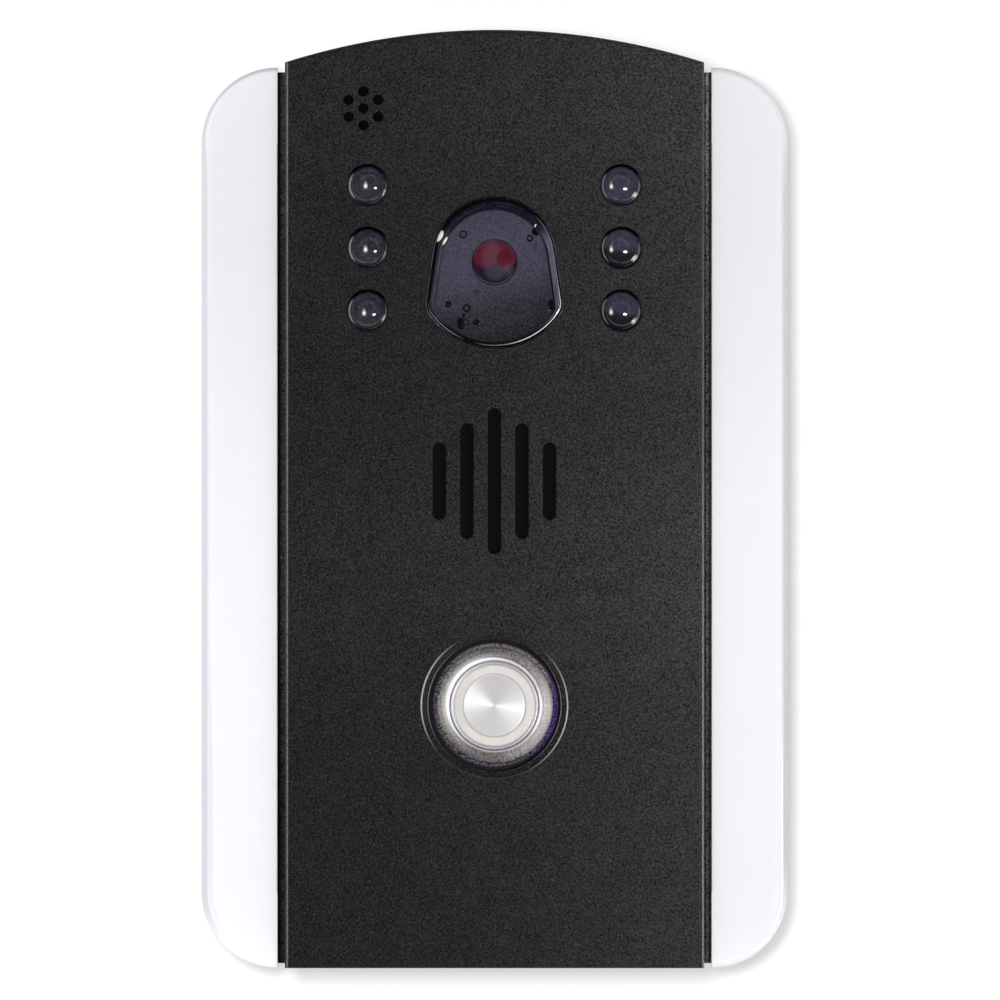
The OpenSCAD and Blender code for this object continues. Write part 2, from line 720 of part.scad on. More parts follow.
module speaker_clips() color([0.75, 0.76, 0.78]) upright() for (a = clip_angles)
    translate([speaker_at[0], speaker_at[1], 0]) rotate([0, 0, a]) difference() {
        union() {
            block([clip_out - 1, 0], [5, 4.4], basket_back_v - 0.8, basket_back_v);
            post([clip_out, 0], 2.2, basket_back_v - 0.8, basket_back_v);
        }
        post([clip_out, 0], m2_r + 0.15, basket_back_v - 0.8 - cut, basket_back_v + cut);
    }

// Head and shank of one small screw, driven from behind, with its seat at a level
module small_screw(at, seat) {
    post(at, m2_head_r, seat - m2_head_h, seat);
    post(at, m2_r, seat, seat + m2_len);
}

module small_screws() color([0.8, 0.8, 0.82]) upright() {
    for (a = clip_angles) small_screw(speaker_at + clip_out * [cos(a), sin(a)], basket_back_v - 0.8);
    for (at = mask_screw_places) small_screw(at, flange_back - 1.4);
    both_sides() {
        for (at = mask_leg_places) small_screw([at[0], lens_z + at[1]], camera_board_back);
        for (side = [-1, 1]) small_screw([led_x, led_z + side * led_pitch / 2], led_board_back);
    }
}

// ---- Push-button ----

button_seal_t = 0.5;
bezel_back = skin_v + button_seal_t;
bezel_front = bezel_back + bezel_t;
cap_front = bezel_front + 0.3;
cap_back = cap_front - 5;
web_t = 1.4;
ledge_front = carrier_v - 7;
ledge_back = ledge_front - 1.5;
bushing_end = carrier_v - 15;
block_end = carrier_v - 17.5;
plunger_r = 2.5;
cap_slip = 0.08;
clip_pocket = travel + 1.2;
plunger_end = carrier_v - 11.5;
contact_r = 2.4;
contact_t = 0.6;
contact_depth = ledge_back - clip_pocket;
cavity_end = plunger_end - contact_t - travel - 1;

// Revolves a profile about the axis of the button
module turned() { translate([button_at[0], button_at[1], 0]) rotate_extrude() children(); }

module button_bezel() color([0.78, 0.77, 0.77]) upright() turned() polygon([
    [bore_r, ledge_front], [bore_r, bezel_front - 0.15], [bore_r + 0.15, bezel_front],
    [bore_r + 0.75, bezel_front], [bore_r + 0.95, bezel_front - 0.12], [bezel_r - 0.2, bezel_front - 0.8],
    [bezel_r, bezel_front - 1], [bezel_r, bezel_back], [bushing_r, bezel_back],
    [bushing_r, bushing_end + 0.4], [bushing_r - 0.4, bushing_end], [bushing_r - 1.4, bushing_end],
    [bushing_r - 1.4, ledge_back], [plunger_r + slip, ledge_back], [plunger_r + slip, ledge_front]]);

module button_seal() color([0.08, 0.08, 0.08]) upright()
    ring(button_at, bushing_r + 0.1, bezel_r - 0.2, skin_v, bezel_back);

module button_nut() color([0.76, 0.76, 0.78]) upright() difference() {
    translate([button_at[0], button_at[1], carrier_v - 3.5]) cylinder(h = 3.5, r = bushing_r + 3.3, $fn = 6);
    post(button_at, bushing_r + slip, carrier_v - 4.5, carrier_v + cut);
}

module button_rim() color([0.8, 0.8, 0.8]) upright() turned() polygon([
    [ring_r + slip, cap_back], [bore_r - cap_slip, cap_back], [bore_r - cap_slip, cap_front - 0.25],
    [bore_r - cap_slip - 0.15, cap_front], [ring_r + slip, cap_front]]);

module button_light_ring() color([0.93, 0.91, 0.86]) upright() turned() polygon([
    [0, cap_back], [ring_r, cap_back], [ring_r, cap_front - 0.3], [ring_r - 0.3, cap_front - 0.15],
    [disc_r + slip, cap_front - 0.15], [disc_r + slip, cap_back + web_t], [0, cap_back + web_t]]);

module button_disc() color([0.85, 0.85, 0.85]) upright() turned() polygon([
    [0, cap_back + web_t], [disc_r, cap_back + web_t], [disc_r, cap_front - 0.1],
    [disc_r - 0.25, cap_front + 0.08], [0, cap_front + 0.08]]);

clip_front = ledge_back - slip;
clip_t = 0.6;

module button_plunger() color([0.12, 0.12, 0.13]) upright() turned() polygon([
    [0, plunger_end], [plunger_r, plunger_end], [plunger_r, clip_front - clip_t],
    [plunger_r - 0.5, clip_front - clip_t], [plunger_r - 0.5, clip_front], [plunger_r, clip_front],
    [plunger_r, cap_back], [0, cap_back]]);

module plunger_clip() color([0.5, 0.5, 0.52]) upright() difference() {
    ring(button_at, plunger_r - 0.5, plunger_r + 1.1, clip_front - clip_t, clip_front);
    block(button_at - [0, 3], [1.6, 6], clip_front - clip_t - cut, clip_front + cut);
}

module contact_bridge() color([0.8, 0.6, 0.3]) upright()
    post(button_at, contact_r, plunger_end - contact_t, plunger_end);

terminal_x = 1.5;
terminal_size = [0.8, 1.6];
terminal_tip = block_end - 2;
lamp_pin_z = 6;

module contact_block() color([0.1, 0.1, 0.1]) upright() difference() {
    union() {
        post(button_at, bushing_r - 1.45, block_end, ledge_back);
        post(button_at, bushing_r - 0.4, block_end, bushing_end);
    }
    post(button_at, plunger_r + 1.5, contact_depth, ledge_back + cut);
    post(button_at, contact_r + 0.3, cavity_end, ledge_back + cut);
    for (side = [-1, 1]) block(button_at + [side * terminal_x, 0], terminal_size + 2 * [slip, slip],
        block_end - cut, cavity_end + cut);
}

module button_terminals() color([0.82, 0.72, 0.45]) upright() for (side = [-1, 1]) {
    block(button_at + [side * terminal_x, 0], terminal_size, terminal_tip, cavity_end + 0.8);
    block(button_at + [0, side * lamp_pin_z], [1.6, 0.8], terminal_tip, block_end);
}

module ring_lamp() color([0.9, 0.9, 0.85]) upright() {
    ring(button_at, 6, bore_r - 0.2, ledge_front, ledge_front + 0.8);
    for (a = [0:60:300]) translate([button_at[0], button_at[1], 0]) rotate([0, 0, a])
        block([7.1, 0], [1, 1.8], ledge_front + 0.8, ledge_front + 1.4);
}

spring_r = 4.3;
spring_wire_r = 0.35;
spring_turns = 4;
spring_low = ledge_front + spring_wire_r + 0.02;
spring_high = cap_back - spring_wire_r - 0.02;

// Coil: a ring of points carried along a helix
module return_spring() color([0.7, 0.7, 0.72]) upright() translate([button_at[0], button_at[1], 0]) {
    steps = 14 * spring_turns;
    sides = 6;
    rings = [for (i = [0:steps]) let (
        a = 360 * spring_turns * i / steps,
        out = [cos(a), sin(a), 0],
        z = spring_low + (spring_high - spring_low) * i / steps)
        for (k = [0:sides - 1]) let (b = 360 * k / sides)
            (spring_r + spring_wire_r * cos(b)) * out + [0, 0, z + spring_wire_r * sin(b)]];
    tube(rings, sides, steps + 1);
}

// Closed tube through rings of points, each with the same number of sides
module tube(points, sides, count) {
    polyhedron(points = points, faces = concat(
        [[for (k = [0:sides - 1]) k]],
        [for (i = [0:count - 2], k = [0:sides - 1]) let (a = i * sides, b = a + sides, n = (k + 1) % sides)
            each [[a + k, b + k, b + n], [a + k, b + n, a + n]]],
        [[for (k = [sides - 1:-1:0]) (count - 1) * sides + k]]));
}

// ---- Main board ----

board_front = carrier_v - spacer_len;
board_back = board_front - board_t;
board_w = 2 * (cover_half - housing_in - wall_t - board_side_gap);
board_hole = [board_w / 2 - 3, board_h / 2 - 3.5];
tall_part = 10;

// The four holes of the main board
module at_board_holes() {
    for (x = [-1, 1], z = [-1, 1]) translate([x * board_hole[0], z * board_hole[1], 0]) children();
}

// Place of a component, measured from the nearest corner of the board
function from_upper_left(right, down) = [-board_w / 2 + right, board_h / 2 - down];
function from_upper_right(left, down) = [board_w / 2 - left, board_h / 2 - down];
function from_lower_left(right, up) = [-board_w / 2 + right, -board_h / 2 + up];
function from_lower_right(left, up) = [board_w / 2 - left, -board_h / 2 + up];

module main_board() color([0.04, 0.28, 0.13]) upright() difference() {
    block([0, 0], [board_w, board_h], board_back, board_front);
    at_board_holes() translate([0, 0, board_back - cut]) cylinder(h = board_t + 2 * cut, r = m3_r + 0.15);
}

module board_spacers() color([0.8, 0.68, 0.38]) upright() {
    at_board_holes() translate([0, 0, board_front]) difference() {
        cylinder(h = carrier_v - board_front, r = 2.9, $fn = 6);
        translate([0, 0, -cut]) cylinder(h = 6 + cut, r = m3_r + slip);
    }
    both_sides() for (side = [-1, 1]) translate([led_x, led_z + side * led_pitch / 2, led_board_front])
        difference() {
            cylinder(h = carrier_v - led_board_front, r = 1.75);
            translate([0, 0, -cut]) cylinder(h = 2.4 + cut, r = m2_r + slip);
        }
}

module board_screws() color([0.8, 0.8, 0.82]) upright() at_board_holes() {
    translate([0, 0, board_back - 1.8]) cylinder(h = 1.8, r = 2.7);
    translate([0, 0, board_back]) cylinder(h = board_t + 4, r = m3_r);
}

shield_at = from_upper_left(17, 16.3);
shield_size = [22, 20];
shield_h = 2.4;
shield_t = 0.4;

module processor_shield() color([0.75, 0.76, 0.78]) upright() difference() {
    block(shield_at, shield_size, board_back - shield_h, board_back);
    block(shield_at, shield_size - 2 * [shield_t, shield_t], board_back - shield_h + shield_t,
        board_back + cut);
}

radio_at = from_upper_right(14.5, 17.6);
radio_size = [18, 22];
radio_board_t = 0.8;
radio_can = [15.5, 15];
radio_h = 3;

module radio_module() color([0.6, 0.62, 0.64]) upright() {
    block(radio_at, radio_size, board_back - radio_board_t, board_back);
    block(radio_at - [0, (radio_size[1] - radio_can[1]) / 2 - 1], radio_can, board_back - radio_h,
        board_back - radio_board_t);
}

relay_size = [18, 8];

module relay() color([0.1, 0.2, 0.5]) upright()
    block(from_lower_right(12, 12.5), relay_size, board_back - tall_part, board_back);

terminal_at = from_lower_left(16.5, 5.7);
terminal_pitch = 5.08;
terminal_ways = 4;
terminal_deep = 8;
terminal_well_r = 1.9;

module terminal_block() color([0.1, 0.45, 0.2]) upright() difference() {
    block(terminal_at, [terminal_pitch * terminal_ways, terminal_deep], board_back - tall_part, board_back);
    for (i = [0:terminal_ways - 1]) {
        x = terminal_at[0] + (i - (terminal_ways - 1) / 2) * terminal_pitch;
        // wire entry from below, and the screw well from behind
        block([x, terminal_at[1] - terminal_deep / 2], [2 * terminal_well_r - 0.4, terminal_deep],
            board_back - 7, board_back - 3.4);
        post([x, terminal_at[1] + 1], terminal_well_r, board_back - tall_part - cut, board_back - 2);
    }
}

module terminal_screws() color([0.75, 0.75, 0.77]) upright() for (i = [0:terminal_ways - 1])
    translate([terminal_at[0] + (i - (terminal_ways - 1) / 2) * terminal_pitch, terminal_at[1] + 1, 0])
        difference() {
            translate([0, 0, board_back - tall_part + 0.6])
                cylinder(h = tall_part - 2.6, r = terminal_well_r - slip);
            translate([-3, -0.25, board_back - tall_part]) cube([6, 0.5, 1.2]);
        }

capacitor_r = 4;

module capacitors() color([0.15, 0.2, 0.4]) upright() for (i = [0, 1])
    post(from_lower_left(2 * capacitor_r + 1 + i * (2 * capacitor_r + 1.5), 3 * capacitor_r + 3),
        capacitor_r, board_back - tall_part, board_back);

ribbon_w = 10;
ribbon_t = 0.3;
socket_size = [12, 4];
socket_h = 1.8;
camera_socket_z = camera_board_z - camera_board_w / 2 + 3;
main_socket_z = board_h / 2 - 3;

module ribbon_sockets() color([0.85, 0.82, 0.75]) upright() {
    block([0, camera_socket_z], socket_size, camera_board_back - socket_h, camera_board_back);
    block([0, main_socket_z], socket_size, board_back - socket_h, board_back);
}

// Flat cable that swings from the camera's socket back to the main board's
module camera_ribbon() color([0.85, 0.85, 0.88]) upright() {
    from = [camera_socket_z - socket_size[1] / 2, camera_board_back - socket_h / 2];
    to = [main_socket_z + socket_size[1] / 2, board_back - socket_h / 2];
    turn = camera_board_z - camera_board_w / 2 - fit;
    steps = 16;
    line = [for (i = [0:steps]) let (rise = max(0, i - 1) / (steps - 1))
        [i == 0 ? from[0] : turn + (to[0] - turn) * rise,
            from[1] + (to[1] - from[1]) * (1 - cos(180 * rise)) / 2]];
    side = [for (i = [0:steps]) let (
        along = i == 0 || i == steps ? [-1, 0] : unit(line[i + 1] - line[i - 1]))
        [-along[1], along[0]] * ribbon_t / 2];
    translate([-ribbon_w / 2, 0, 0]) rotate([90, 0, 90]) linear_extrude(ribbon_w)
        polygon(concat([for (i = [0:steps]) line[i] + side[i]],
            [for (i = [steps:-1:0]) line[i] - side[i]]));
}

header_h = 3.4;
speaker_header = from_upper_right(7, 12);
mic_header = from_upper_left(12, 8);
button_header = from_lower_right(24, 3);

module lead_headers() color([0.9, 0.88, 0.8]) upright() {
    block(speaker_header, [6, 4], board_front, board_front + header_h);
    block(mic_header, [6, 4], board_front, board_front + header_h);
    block(button_header, [9, 4], board_back - header_h, board_back);
}

// Insulated wires, each a tube along a cubic curve with four chosen points
wire_r = 0.5;
wire_rings = 10;

function curve_point(p, t) =
    pow(1 - t, 3) * p[0] + 3 * t * pow(1 - t, 2) * p[1] + 3 * t * t * (1 - t) * p[2] + pow(t, 3) * p[3];

function curve_way(p, t) = unit(
    pow(1 - t, 2) * (p[1] - p[0]) + 2 * t * (1 - t) * (p[2] - p[1]) + t * t * (p[3] - p[2]));

module wire(p) {
    sides = 8;
    rings = [for (i = [0:wire_rings - 1]) let (
        t = i / (wire_rings - 1),
        way = curve_way(p, t),
        across = unit(cross(way, [1, 0.15, 0.1])),
        up = cross(across, way))
        for (k = [0:sides - 1]) let (a = 360 * k / sides)
            curve_point(p, t) + wire_r * (cos(a) * across + sin(a) * up)];
    tube(rings, sides, wire_rings);
}

module speaker_leads() color([0.75, 0.1, 0.1]) upright() for (side = [-1, 1]) {
    start = [tab_at[0], tab_at[1] + side * 1.4, basket_back_v];
    end = [speaker_header[0] - side * 1.2, speaker_header[1], board_front + header_h];
    wire([start, start - [0, 0, 4], end + [0, 0, 4], end]);
}

module mic_leads() color([0.85, 0.85, 0.85]) upright() for (side = [-1, 1]) {
    start = [mic_at[0] + side * 1.27, mic_at[1], capsule_back - 0.6];
    end = [mic_header[0] + side * 1.2, mic_header[1] + 2, board_front + header_h / 2];
    wire([start, start - [0, 0, 12], end + [0, 18, 0], end]);
}

module button_leads() color([0.2, 0.2, 0.25]) upright() {
    // each lead's start at the button, and its place in the header
    for (lead = [[0, lamp_pin_z, 0], [-terminal_x, 0, 1], [terminal_x, 0, 2], [0, -lamp_pin_z, 3]]) {
        start = [lead[0], button_at[1] + lead[1], terminal_tip];
        end = [button_header[0] + (lead[2] - 1.5) * 1.9, button_header[1], board_back - header_h];
        wire([start, start - [0, 0, 4], end - [0, 0, 7], end]);
    }
}

wall_gasket();
rear_housing();
cable_grommet();
left_wing();
right_wing();
wing_screws();
faceplate();
security_screws();
housing_seal();
carrier_plate();
carrier_nuts();
camera_window();
window_gasket();
camera_mask();
lens_element();
lens_barrel();
lens_holder();
image_sensor();
camera_board();
ir_leds();
led_leads();
led_boards();
mic_boot();
mic_capsule();
speaker_mesh();
speaker_gasket();
speaker_basket();
speaker_cone();
speaker_magnet();
speaker_clips();
small_screws();
button_bezel();
button_seal();
button_nut();
button_rim();
button_light_ring();
button_disc();
button_plunger();
plunger_clip();
return_spring();
contact_bridge();
contact_block();
button_terminals();
ring_lamp();
main_board();
board_spacers();
board_screws();
processor_shield();
radio_module();
relay();
terminal_block();
terminal_screws();
capacitors();
ribbon_sockets();
camera_ribbon();
lead_headers();
speaker_leads();
mic_leads();
button_leads();
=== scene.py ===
import json
import bpy
import bmesh
import numpy as np
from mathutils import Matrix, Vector


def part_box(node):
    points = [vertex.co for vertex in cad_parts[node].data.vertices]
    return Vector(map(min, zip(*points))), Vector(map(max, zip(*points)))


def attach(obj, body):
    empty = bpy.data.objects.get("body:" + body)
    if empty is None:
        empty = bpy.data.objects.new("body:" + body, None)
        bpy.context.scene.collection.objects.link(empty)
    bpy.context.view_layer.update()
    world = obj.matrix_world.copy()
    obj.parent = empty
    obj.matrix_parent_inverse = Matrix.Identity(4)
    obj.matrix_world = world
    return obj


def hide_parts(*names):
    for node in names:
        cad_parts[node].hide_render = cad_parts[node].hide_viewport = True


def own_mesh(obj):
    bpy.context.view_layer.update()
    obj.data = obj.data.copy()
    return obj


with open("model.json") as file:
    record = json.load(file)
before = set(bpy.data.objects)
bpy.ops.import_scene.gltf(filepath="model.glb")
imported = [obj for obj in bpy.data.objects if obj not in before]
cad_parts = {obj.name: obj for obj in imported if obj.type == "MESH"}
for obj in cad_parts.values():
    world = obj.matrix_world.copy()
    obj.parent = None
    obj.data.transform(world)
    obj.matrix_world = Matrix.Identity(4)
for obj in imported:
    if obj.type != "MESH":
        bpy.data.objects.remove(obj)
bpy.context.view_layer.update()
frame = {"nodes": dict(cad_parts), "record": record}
mm = 0.001
print("frame loaded:", len(frame["nodes"]), "nodes")

# Flat drawings are in millimetres: x to the right, z up, and a level counted out of the wall.


# points of an arc: centre + r (cos a, sin a), with a running from start to end in degrees
def arc(centre, r, start, end, steps):
    a = np.radians(np.linspace(start, end, steps + 1))
    return np.stack([centre[0] + r * np.cos(a), centre[1] + r * np.sin(a)], 1)


# closed ring of an arc's points, without the last, which is the first again
def circleLoop(centre, r, steps):
    return arc(centre, r, 0, 360, steps)[:-1]


# slot with round ends: two half circles of radius w/2 round the ends of a middle line
def slotLoop(centre, width, length, grow=0):
    half = (length - width) / 2
    r = width / 2 + grow
    upper = arc((centre[0], centre[1] + half), r, 0, 180, 16)
    lower = arc((centre[0], centre[1] - half), r, 180, 360, 16)
    return np.concatenate([upper, lower])


# polyline whose corners are swapped for arcs that touch both neighbours
def rounded(corners, closed=False, steps=5):
    points = np.array([c[:2] for c in corners], float)
    radii = [c[2] if len(c) > 2 else 0 for c in corners]
    count = len(points)
    out = []
    for i, (p, r) in enumerate(zip(points, radii)):
        if r == 0 or (not closed and i in (0, count - 1)):
            out.append(p)
            continue
        u, w = points[i - 1] - p, points[(i + 1) % count] - p
        lengthU, lengthW = np.linalg.norm(u), np.linalg.norm(w)
        u, w = u / lengthU, w / lengthW
        half = np.arccos(np.clip(u @ w, -1, 1)) / 2
        reach = min(r / np.tan(half), 0.49 * lengthU, 0.49 * lengthW)
        r = reach * np.tan(half)
        centre = p + (u + w) / np.linalg.norm(u + w) * r / np.sin(half)
        first = np.arctan2(*(p + u * reach - centre)[::-1])
        turn = np.arctan2(*(p + w * reach - centre)[::-1]) - first
        turn = (turn + np.pi) % (2 * np.pi) - np.pi
        a = first + turn * np.linspace(0, 1, steps + 1)
        out.extend(np.stack([centre[0] + r * np.cos(a), centre[1] + r * np.sin(a)], 1))
    return np.array(out)


# plan points and levels in millimetres to places in the frame, in metres
def place(plan, level):
    plan = np.asarray(plan, float)
    level = np.broadcast_to(level, plan.shape[:-1])
    return np.stack([plan[..., 0], -level, plan[..., 1]], -1) * mm


# sides of a solid in millimetres, with its levels counted out of the wall
def extent(node):
    low, high = [[v / mm for v in corner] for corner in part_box(node)]
    return {"left": low[0], "right": high[0], "front": -low[1], "back": -high[1],
            "bottom": low[2], "top": high[2]}


# quads of a grid whose rows are closed rings and whose last row may join the first:
# (i, j) (i, j + 1) (i + 1, j + 1) (i + 1, j)
def gridFaces(rows, columns, closeRows):
    i = np.arange(rows if closeRows else rows - 1)[:, None]
    j = np.arange(columns)[None, :]
    nextI, nextJ = (i + 1) % rows, (j + 1) % columns
    quads = [i * columns + j, i * columns + nextJ, nextI * columns + nextJ, nextI * columns + j]
    return np.stack([q + 0 * (i + j) for q in quads], -1).reshape(-1, 4)


# new object in the scene, at the origin
def addObject(name, data):
    thing = bpy.data.objects.new(name, data)
    bpy.context.scene.collection.objects.link(thing)
    return thing


class Part:
    # gathers grids and flat fills, then makes one closed piece of them
    def __init__(self, name):
        self.name = name
        self.points, self.faces, self.fills, self.marks = [], [], [], []
        self.count = 0

    # surface through rows of points, without the faces (row, column) that are skipped
    def grid(self, points, closeRows=False, marks=None, skip=()):
        rows, columns = points.shape[:2]
        faces = gridFaces(rows, columns, closeRows)
        faces = np.delete(faces, [i * columns + j for i, j in skip], 0) if skip else faces
        self.faces.append(faces + self.count)
        self.points.append(points.reshape(-1, 3))
        self.marks.append(np.zeros((rows * columns, 2)) if marks is None else marks.reshape(-1, 2))
        self.count += rows * columns

    # profile of (outward offset, level) carried round an outline that can be offset
    def around(self, outline, profile, skip=()):
        self.grid(np.stack([place(outline(offset), level) for offset, level in profile]), skip=skip)

    # profile of (radius, level) turned about an axis through centre, each row moved aside by its lean:
    # point = centre + radius (cos a, sin a) + lean, marked with (point - centre) / markRadius before it leans
    def turned(self, centre, profile, steps=96, markRadius=1, lean=0):
        a = np.radians(np.arange(steps) * 360 / steps)
        out = profile[:, None, :1] * np.stack([np.cos(a), np.sin(a)], -1)
        self.grid(place(out + centre + lean, profile[:, None, 1]), True, out / markRadius)

    # flat region inside the first loop and outside the others
    def fill(self, loops, level):
        self.fills.append([place(loop, level) for loop in loops])

    # welds the grids and fills, turns all faces outwards and hands the piece to its body
    def finish(self, body, material, replaces=(), sharp=32):
        mesh = bpy.data.meshes.new(self.name)
        mesh.from_pydata(np.concatenate(self.points), [], np.concatenate(self.faces).tolist())
        marks = np.concatenate(self.marks)
        layer = mesh.uv_layers.new(name="marks")
        corner = np.zeros(len(mesh.loops), np.int32)
        mesh.loops.foreach_get("vertex_index", corner)
        layer.data.foreach_set("uv", marks[corner].astype(np.float32).ravel())
        work = bmesh.new()
        work.from_mesh(mesh)
        for loops in self.fills:
            edges = []
            for loop in loops:
                corners = [work.verts.new(p) for p in loop]
                edges += [work.edges.new((a, b)) for a, b in zip(corners, corners[1:] + corners[:1])]
            bmesh.ops.triangle_fill(work, edges=edges, use_beauty=True)
        bmesh.ops.remove_doubles(work, verts=work.verts, dist=0.002 * mm)
        bmesh.ops.dissolve_degenerate(work, edges=work.edges, dist=0.0005 * mm)
        bmesh.ops.recalc_face_normals(work, faces=work.faces)
        openEdges = sum(not e.is_manifold for e in work.edges)
        work.to_mesh(mesh)
        work.free()
        mesh.polygons.foreach_set("use_smooth", [True] * len(mesh.polygons))
        mesh.set_sharp_from_angle(angle=np.radians(sharp))
        mesh.materials.append(material)
        piece = addObject(self.name, mesh)
        even = piece.modifiers.new("evenShading", "WEIGHTED_NORMAL")  # flat faces stay flat beside a round
        even.keep_sharp = True
        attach(piece, body)
        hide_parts(*replaces)
        print("piece", self.name, len(mesh.polygons), "faces,", openEdges, "open edges")
        return piece


# method of a value that adds a Math node: operation(value, other), or operation(other, value) if reflected
def arithmetic(operation, reflected=False):
    if reflected:
        return lambda value, other: value.paint.maths(operation, other, value)
    return lambda value, other=0: value.paint.maths(operation, value, other)


class Value:
    # a node's output: arithmetic and soft masks on it add nodes
    def __init__(self, paint, socket):
        self.paint, self.socket = paint, socket

    __add__ = __radd__ = arithmetic("ADD")
    __mul__ = __rmul__ = arithmetic("MULTIPLY")
    __sub__, __rsub__ = arithmetic("SUBTRACT"), arithmetic("SUBTRACT", True)
    __truediv__, __pow__, __abs__ = arithmetic("DIVIDE"), arithmetic("POWER"), arithmetic("ABSOLUTE")
    larger, smaller, root = arithmetic("MAXIMUM"), arithmetic("MINIMUM"), arithmetic("SQRT")

    # 0 below low, 1 above high, and 3t^2 - 2t^3 between, where t = (value - low) / (high - low)
    def step(self, low, high):
        return self.paint.node("MapRange", {"interpolation_type": "SMOOTHSTEP"},
                               {"Value": self, "From Min": low, "From Max": high})

    # 1 below low, 0 above high: 1 - step
    def fall(self, low, high):
        return 1 - self.step(low, high)

    # 1 between low and high, with soft ends: step at low times fall at high
    def band(self, low, high, soft):
        return self.step(low - soft, low + soft) * self.fall(high - soft, high + soft)

    # for an angle in degrees: 1 within reach of the middle, with soft ends: fall of |angle - middle|
    def near(self, middle, reach, soft):
        turned = self.paint.node("Math", {"operation": "WRAP"}, {0: self - middle, 1: 180.0, 2: -180.0})
        return abs(turned).fall(reach - soft, reach + soft)


class Paint:
    # one material, or the world, and the calls that add nodes to it
    def __init__(self, name, kind="Material"):
        self.owner = (bpy.data.worlds if kind == "World" else bpy.data.materials).new(name)
        self.owner.use_nodes = True
        self.tree = self.owner.node_tree
        self.tree.nodes.clear()
        self.output = self.tree.nodes.new("ShaderNodeOutput" + kind)

    # any node: its settings, then its sockets, each linked or set to a constant
    def node(self, kind, settings=None, sockets=None, out=0):
        made = self.tree.nodes.new("ShaderNode" + kind)
        for key, setting in (settings or {}).items():
            if key == "stops":
                ramp = made.color_ramp
                while len(ramp.elements) < len(setting):
                    ramp.elements.new(0.5)
                for element, (spot, colour) in zip(ramp.elements, setting):
                    element.position, element.color = spot, (*colour, 1)
            else:
                setattr(made, key, setting)
        for key, value in (sockets or {}).items():
            socket = made.inputs[key]
            if isinstance(value, Value):
                self.tree.links.new(value.socket, socket)
            elif isinstance(value, tuple) and len(value) == 3 and socket.type == "RGBA":
                socket.default_value = (*value, 1)
            else:
                socket.default_value = value
        return Value(self, made.outputs[out])

    def maths(self, operation, a, b=0):
        return self.node("Math", {"operation": operation}, {0: a, 1: b})

    # place on the piece, in millimetres
    def place(self):
        spot = self.node("TexCoord", out="Object")
        return self.node("VectorMath", {"operation": "SCALE"}, {0: spot, "Scale": 1 / mm})

    # x, y and z of a vector
    def axes(self, vector):
        return [self.node("SeparateXYZ", sockets={0: vector}, out=i) for i in range(3)]

    def vector(self, x, y=0.0, z=0.0):
        return self.node("CombineXYZ", sockets={0: x, 1: y, 2: z})

    # atan2(up, across) in degrees
    def degrees(self, up, across):
        return self.maths("ARCTAN2", up, across) * float(np.degrees(1))

    def noise(self, vector, scale, detail=2.0, rough=0.5, warp=0.0):
        return self.node("TexNoise", sockets={"Vector": vector, "Scale": scale, "Detail": detail,
                                              "Roughness": rough, "Distortion": warp})

    # a + (b - a) factor
    def mix(self, factor, a, b, blend="MIX"):
        return self.node("Mix", {"data_type": "RGBA", "blend_type": blend, "clamp_factor": True},
                         {0: factor, 6: a, 7: b}, out=2)

    def times(self, a, b):
        return self.mix(1.0, a, b, "MULTIPLY")

    # each (mask, colour) laid over what is under it: tone + (colour - tone) mask
    def layers(self, tone, *coats):
        for mask, colour in coats:
            tone = self.mix(mask, tone, colour)
        return tone

    def ramp(self, value, stops):
        return self.node("ValToRGB", {"stops": stops}, {0: value})

    # ramp over a whole turn through (degrees, shade), each shade times the gain
    def turnRamp(self, angle, table, gain=1):
        return self.ramp(angle / 360 + 0.5, [(a / 360 + 0.5, (shade * gain,) * 3) for a, shade in table])

    def bump(self, height, strength, distance):
        return self.node("Bump", sockets={"Height": height, "Strength": strength, "Distance": distance * mm})

    def principled(self, colour, **sockets):
        names = {key.replace("_", " "): value for key, value in sockets.items()}
        return self.node("BsdfPrincipled", sockets={"Base Color": colour, **names})

    # 1 for what the camera sees, straight, in a reflection or through clear plastic
    def seen(self):
        names = ("Is Camera Ray", "Is Glossy Ray", "Is Transmission Ray")
        direct, mirrored, through = [self.node("LightPath", out=name) for name in names]
        return direct.larger(mirrored).larger(through)

    def use(self, shader):
        self.tree.links.new(shader.socket, self.output.inputs["Surface"])
        return self.owner

    def surface(self, colour, **sockets):
        return self.use(self.principled(colour, **sockets))


# plain finish of a hidden or small piece: colour that drifts a little, fine grain, soft bump
def plainFinish(name, colour, rough, metallic=0.0, grain=1.2, drift=0.12, bump=0.02):
    paint = Paint(name)
    spot = paint.place()
    cloud = paint.noise(spot, 0.25, 3.0)
    fine = paint.noise(spot, grain * 4)
    dark = tuple(c * (1 - drift) for c in colour)
    light = tuple(min(1, c * (1 + drift)) for c in colour)
    tone = paint.mix(cloud * 0.7 + fine * 0.3, dark, light)
    roughness = (fine - 0.5) * 0.16 + rough
    return paint.surface(tone, Roughness=roughness, Metallic=metallic,
                         Specular_IOR_Level=0.55 * (1 - rough) if metallic == 0 else 0.5,
                         Normal=paint.bump(fine, 0.35, bump))


# angle round the button, 0 to the right and 90 upwards, in degrees, and the distance from its axis
def buttonPolar(paint):
    x, _, z = paint.axes(paint.place())
    x, z = x - button["centre"][0], z - button["centre"][1]
    return paint.degrees(z, x), (x * x + z * z).root()


# textured powder coat: ground * grain * painted light across the part and paler bands along it + specks +
# painted highlights on edges, over a fine hammered bump; grooved is the housing, whose strip beside the cover
# has painted light and shade of its own
coat = {"ground": 0.0150, "speck": 0.05, "roughness": 0.49, "specular": 0.12, "foldHighlight": 0.27, "even": 1.15,
        "frontLevels": (29.5, 31.0), "grooveLevels": (3.6, 4.2)}


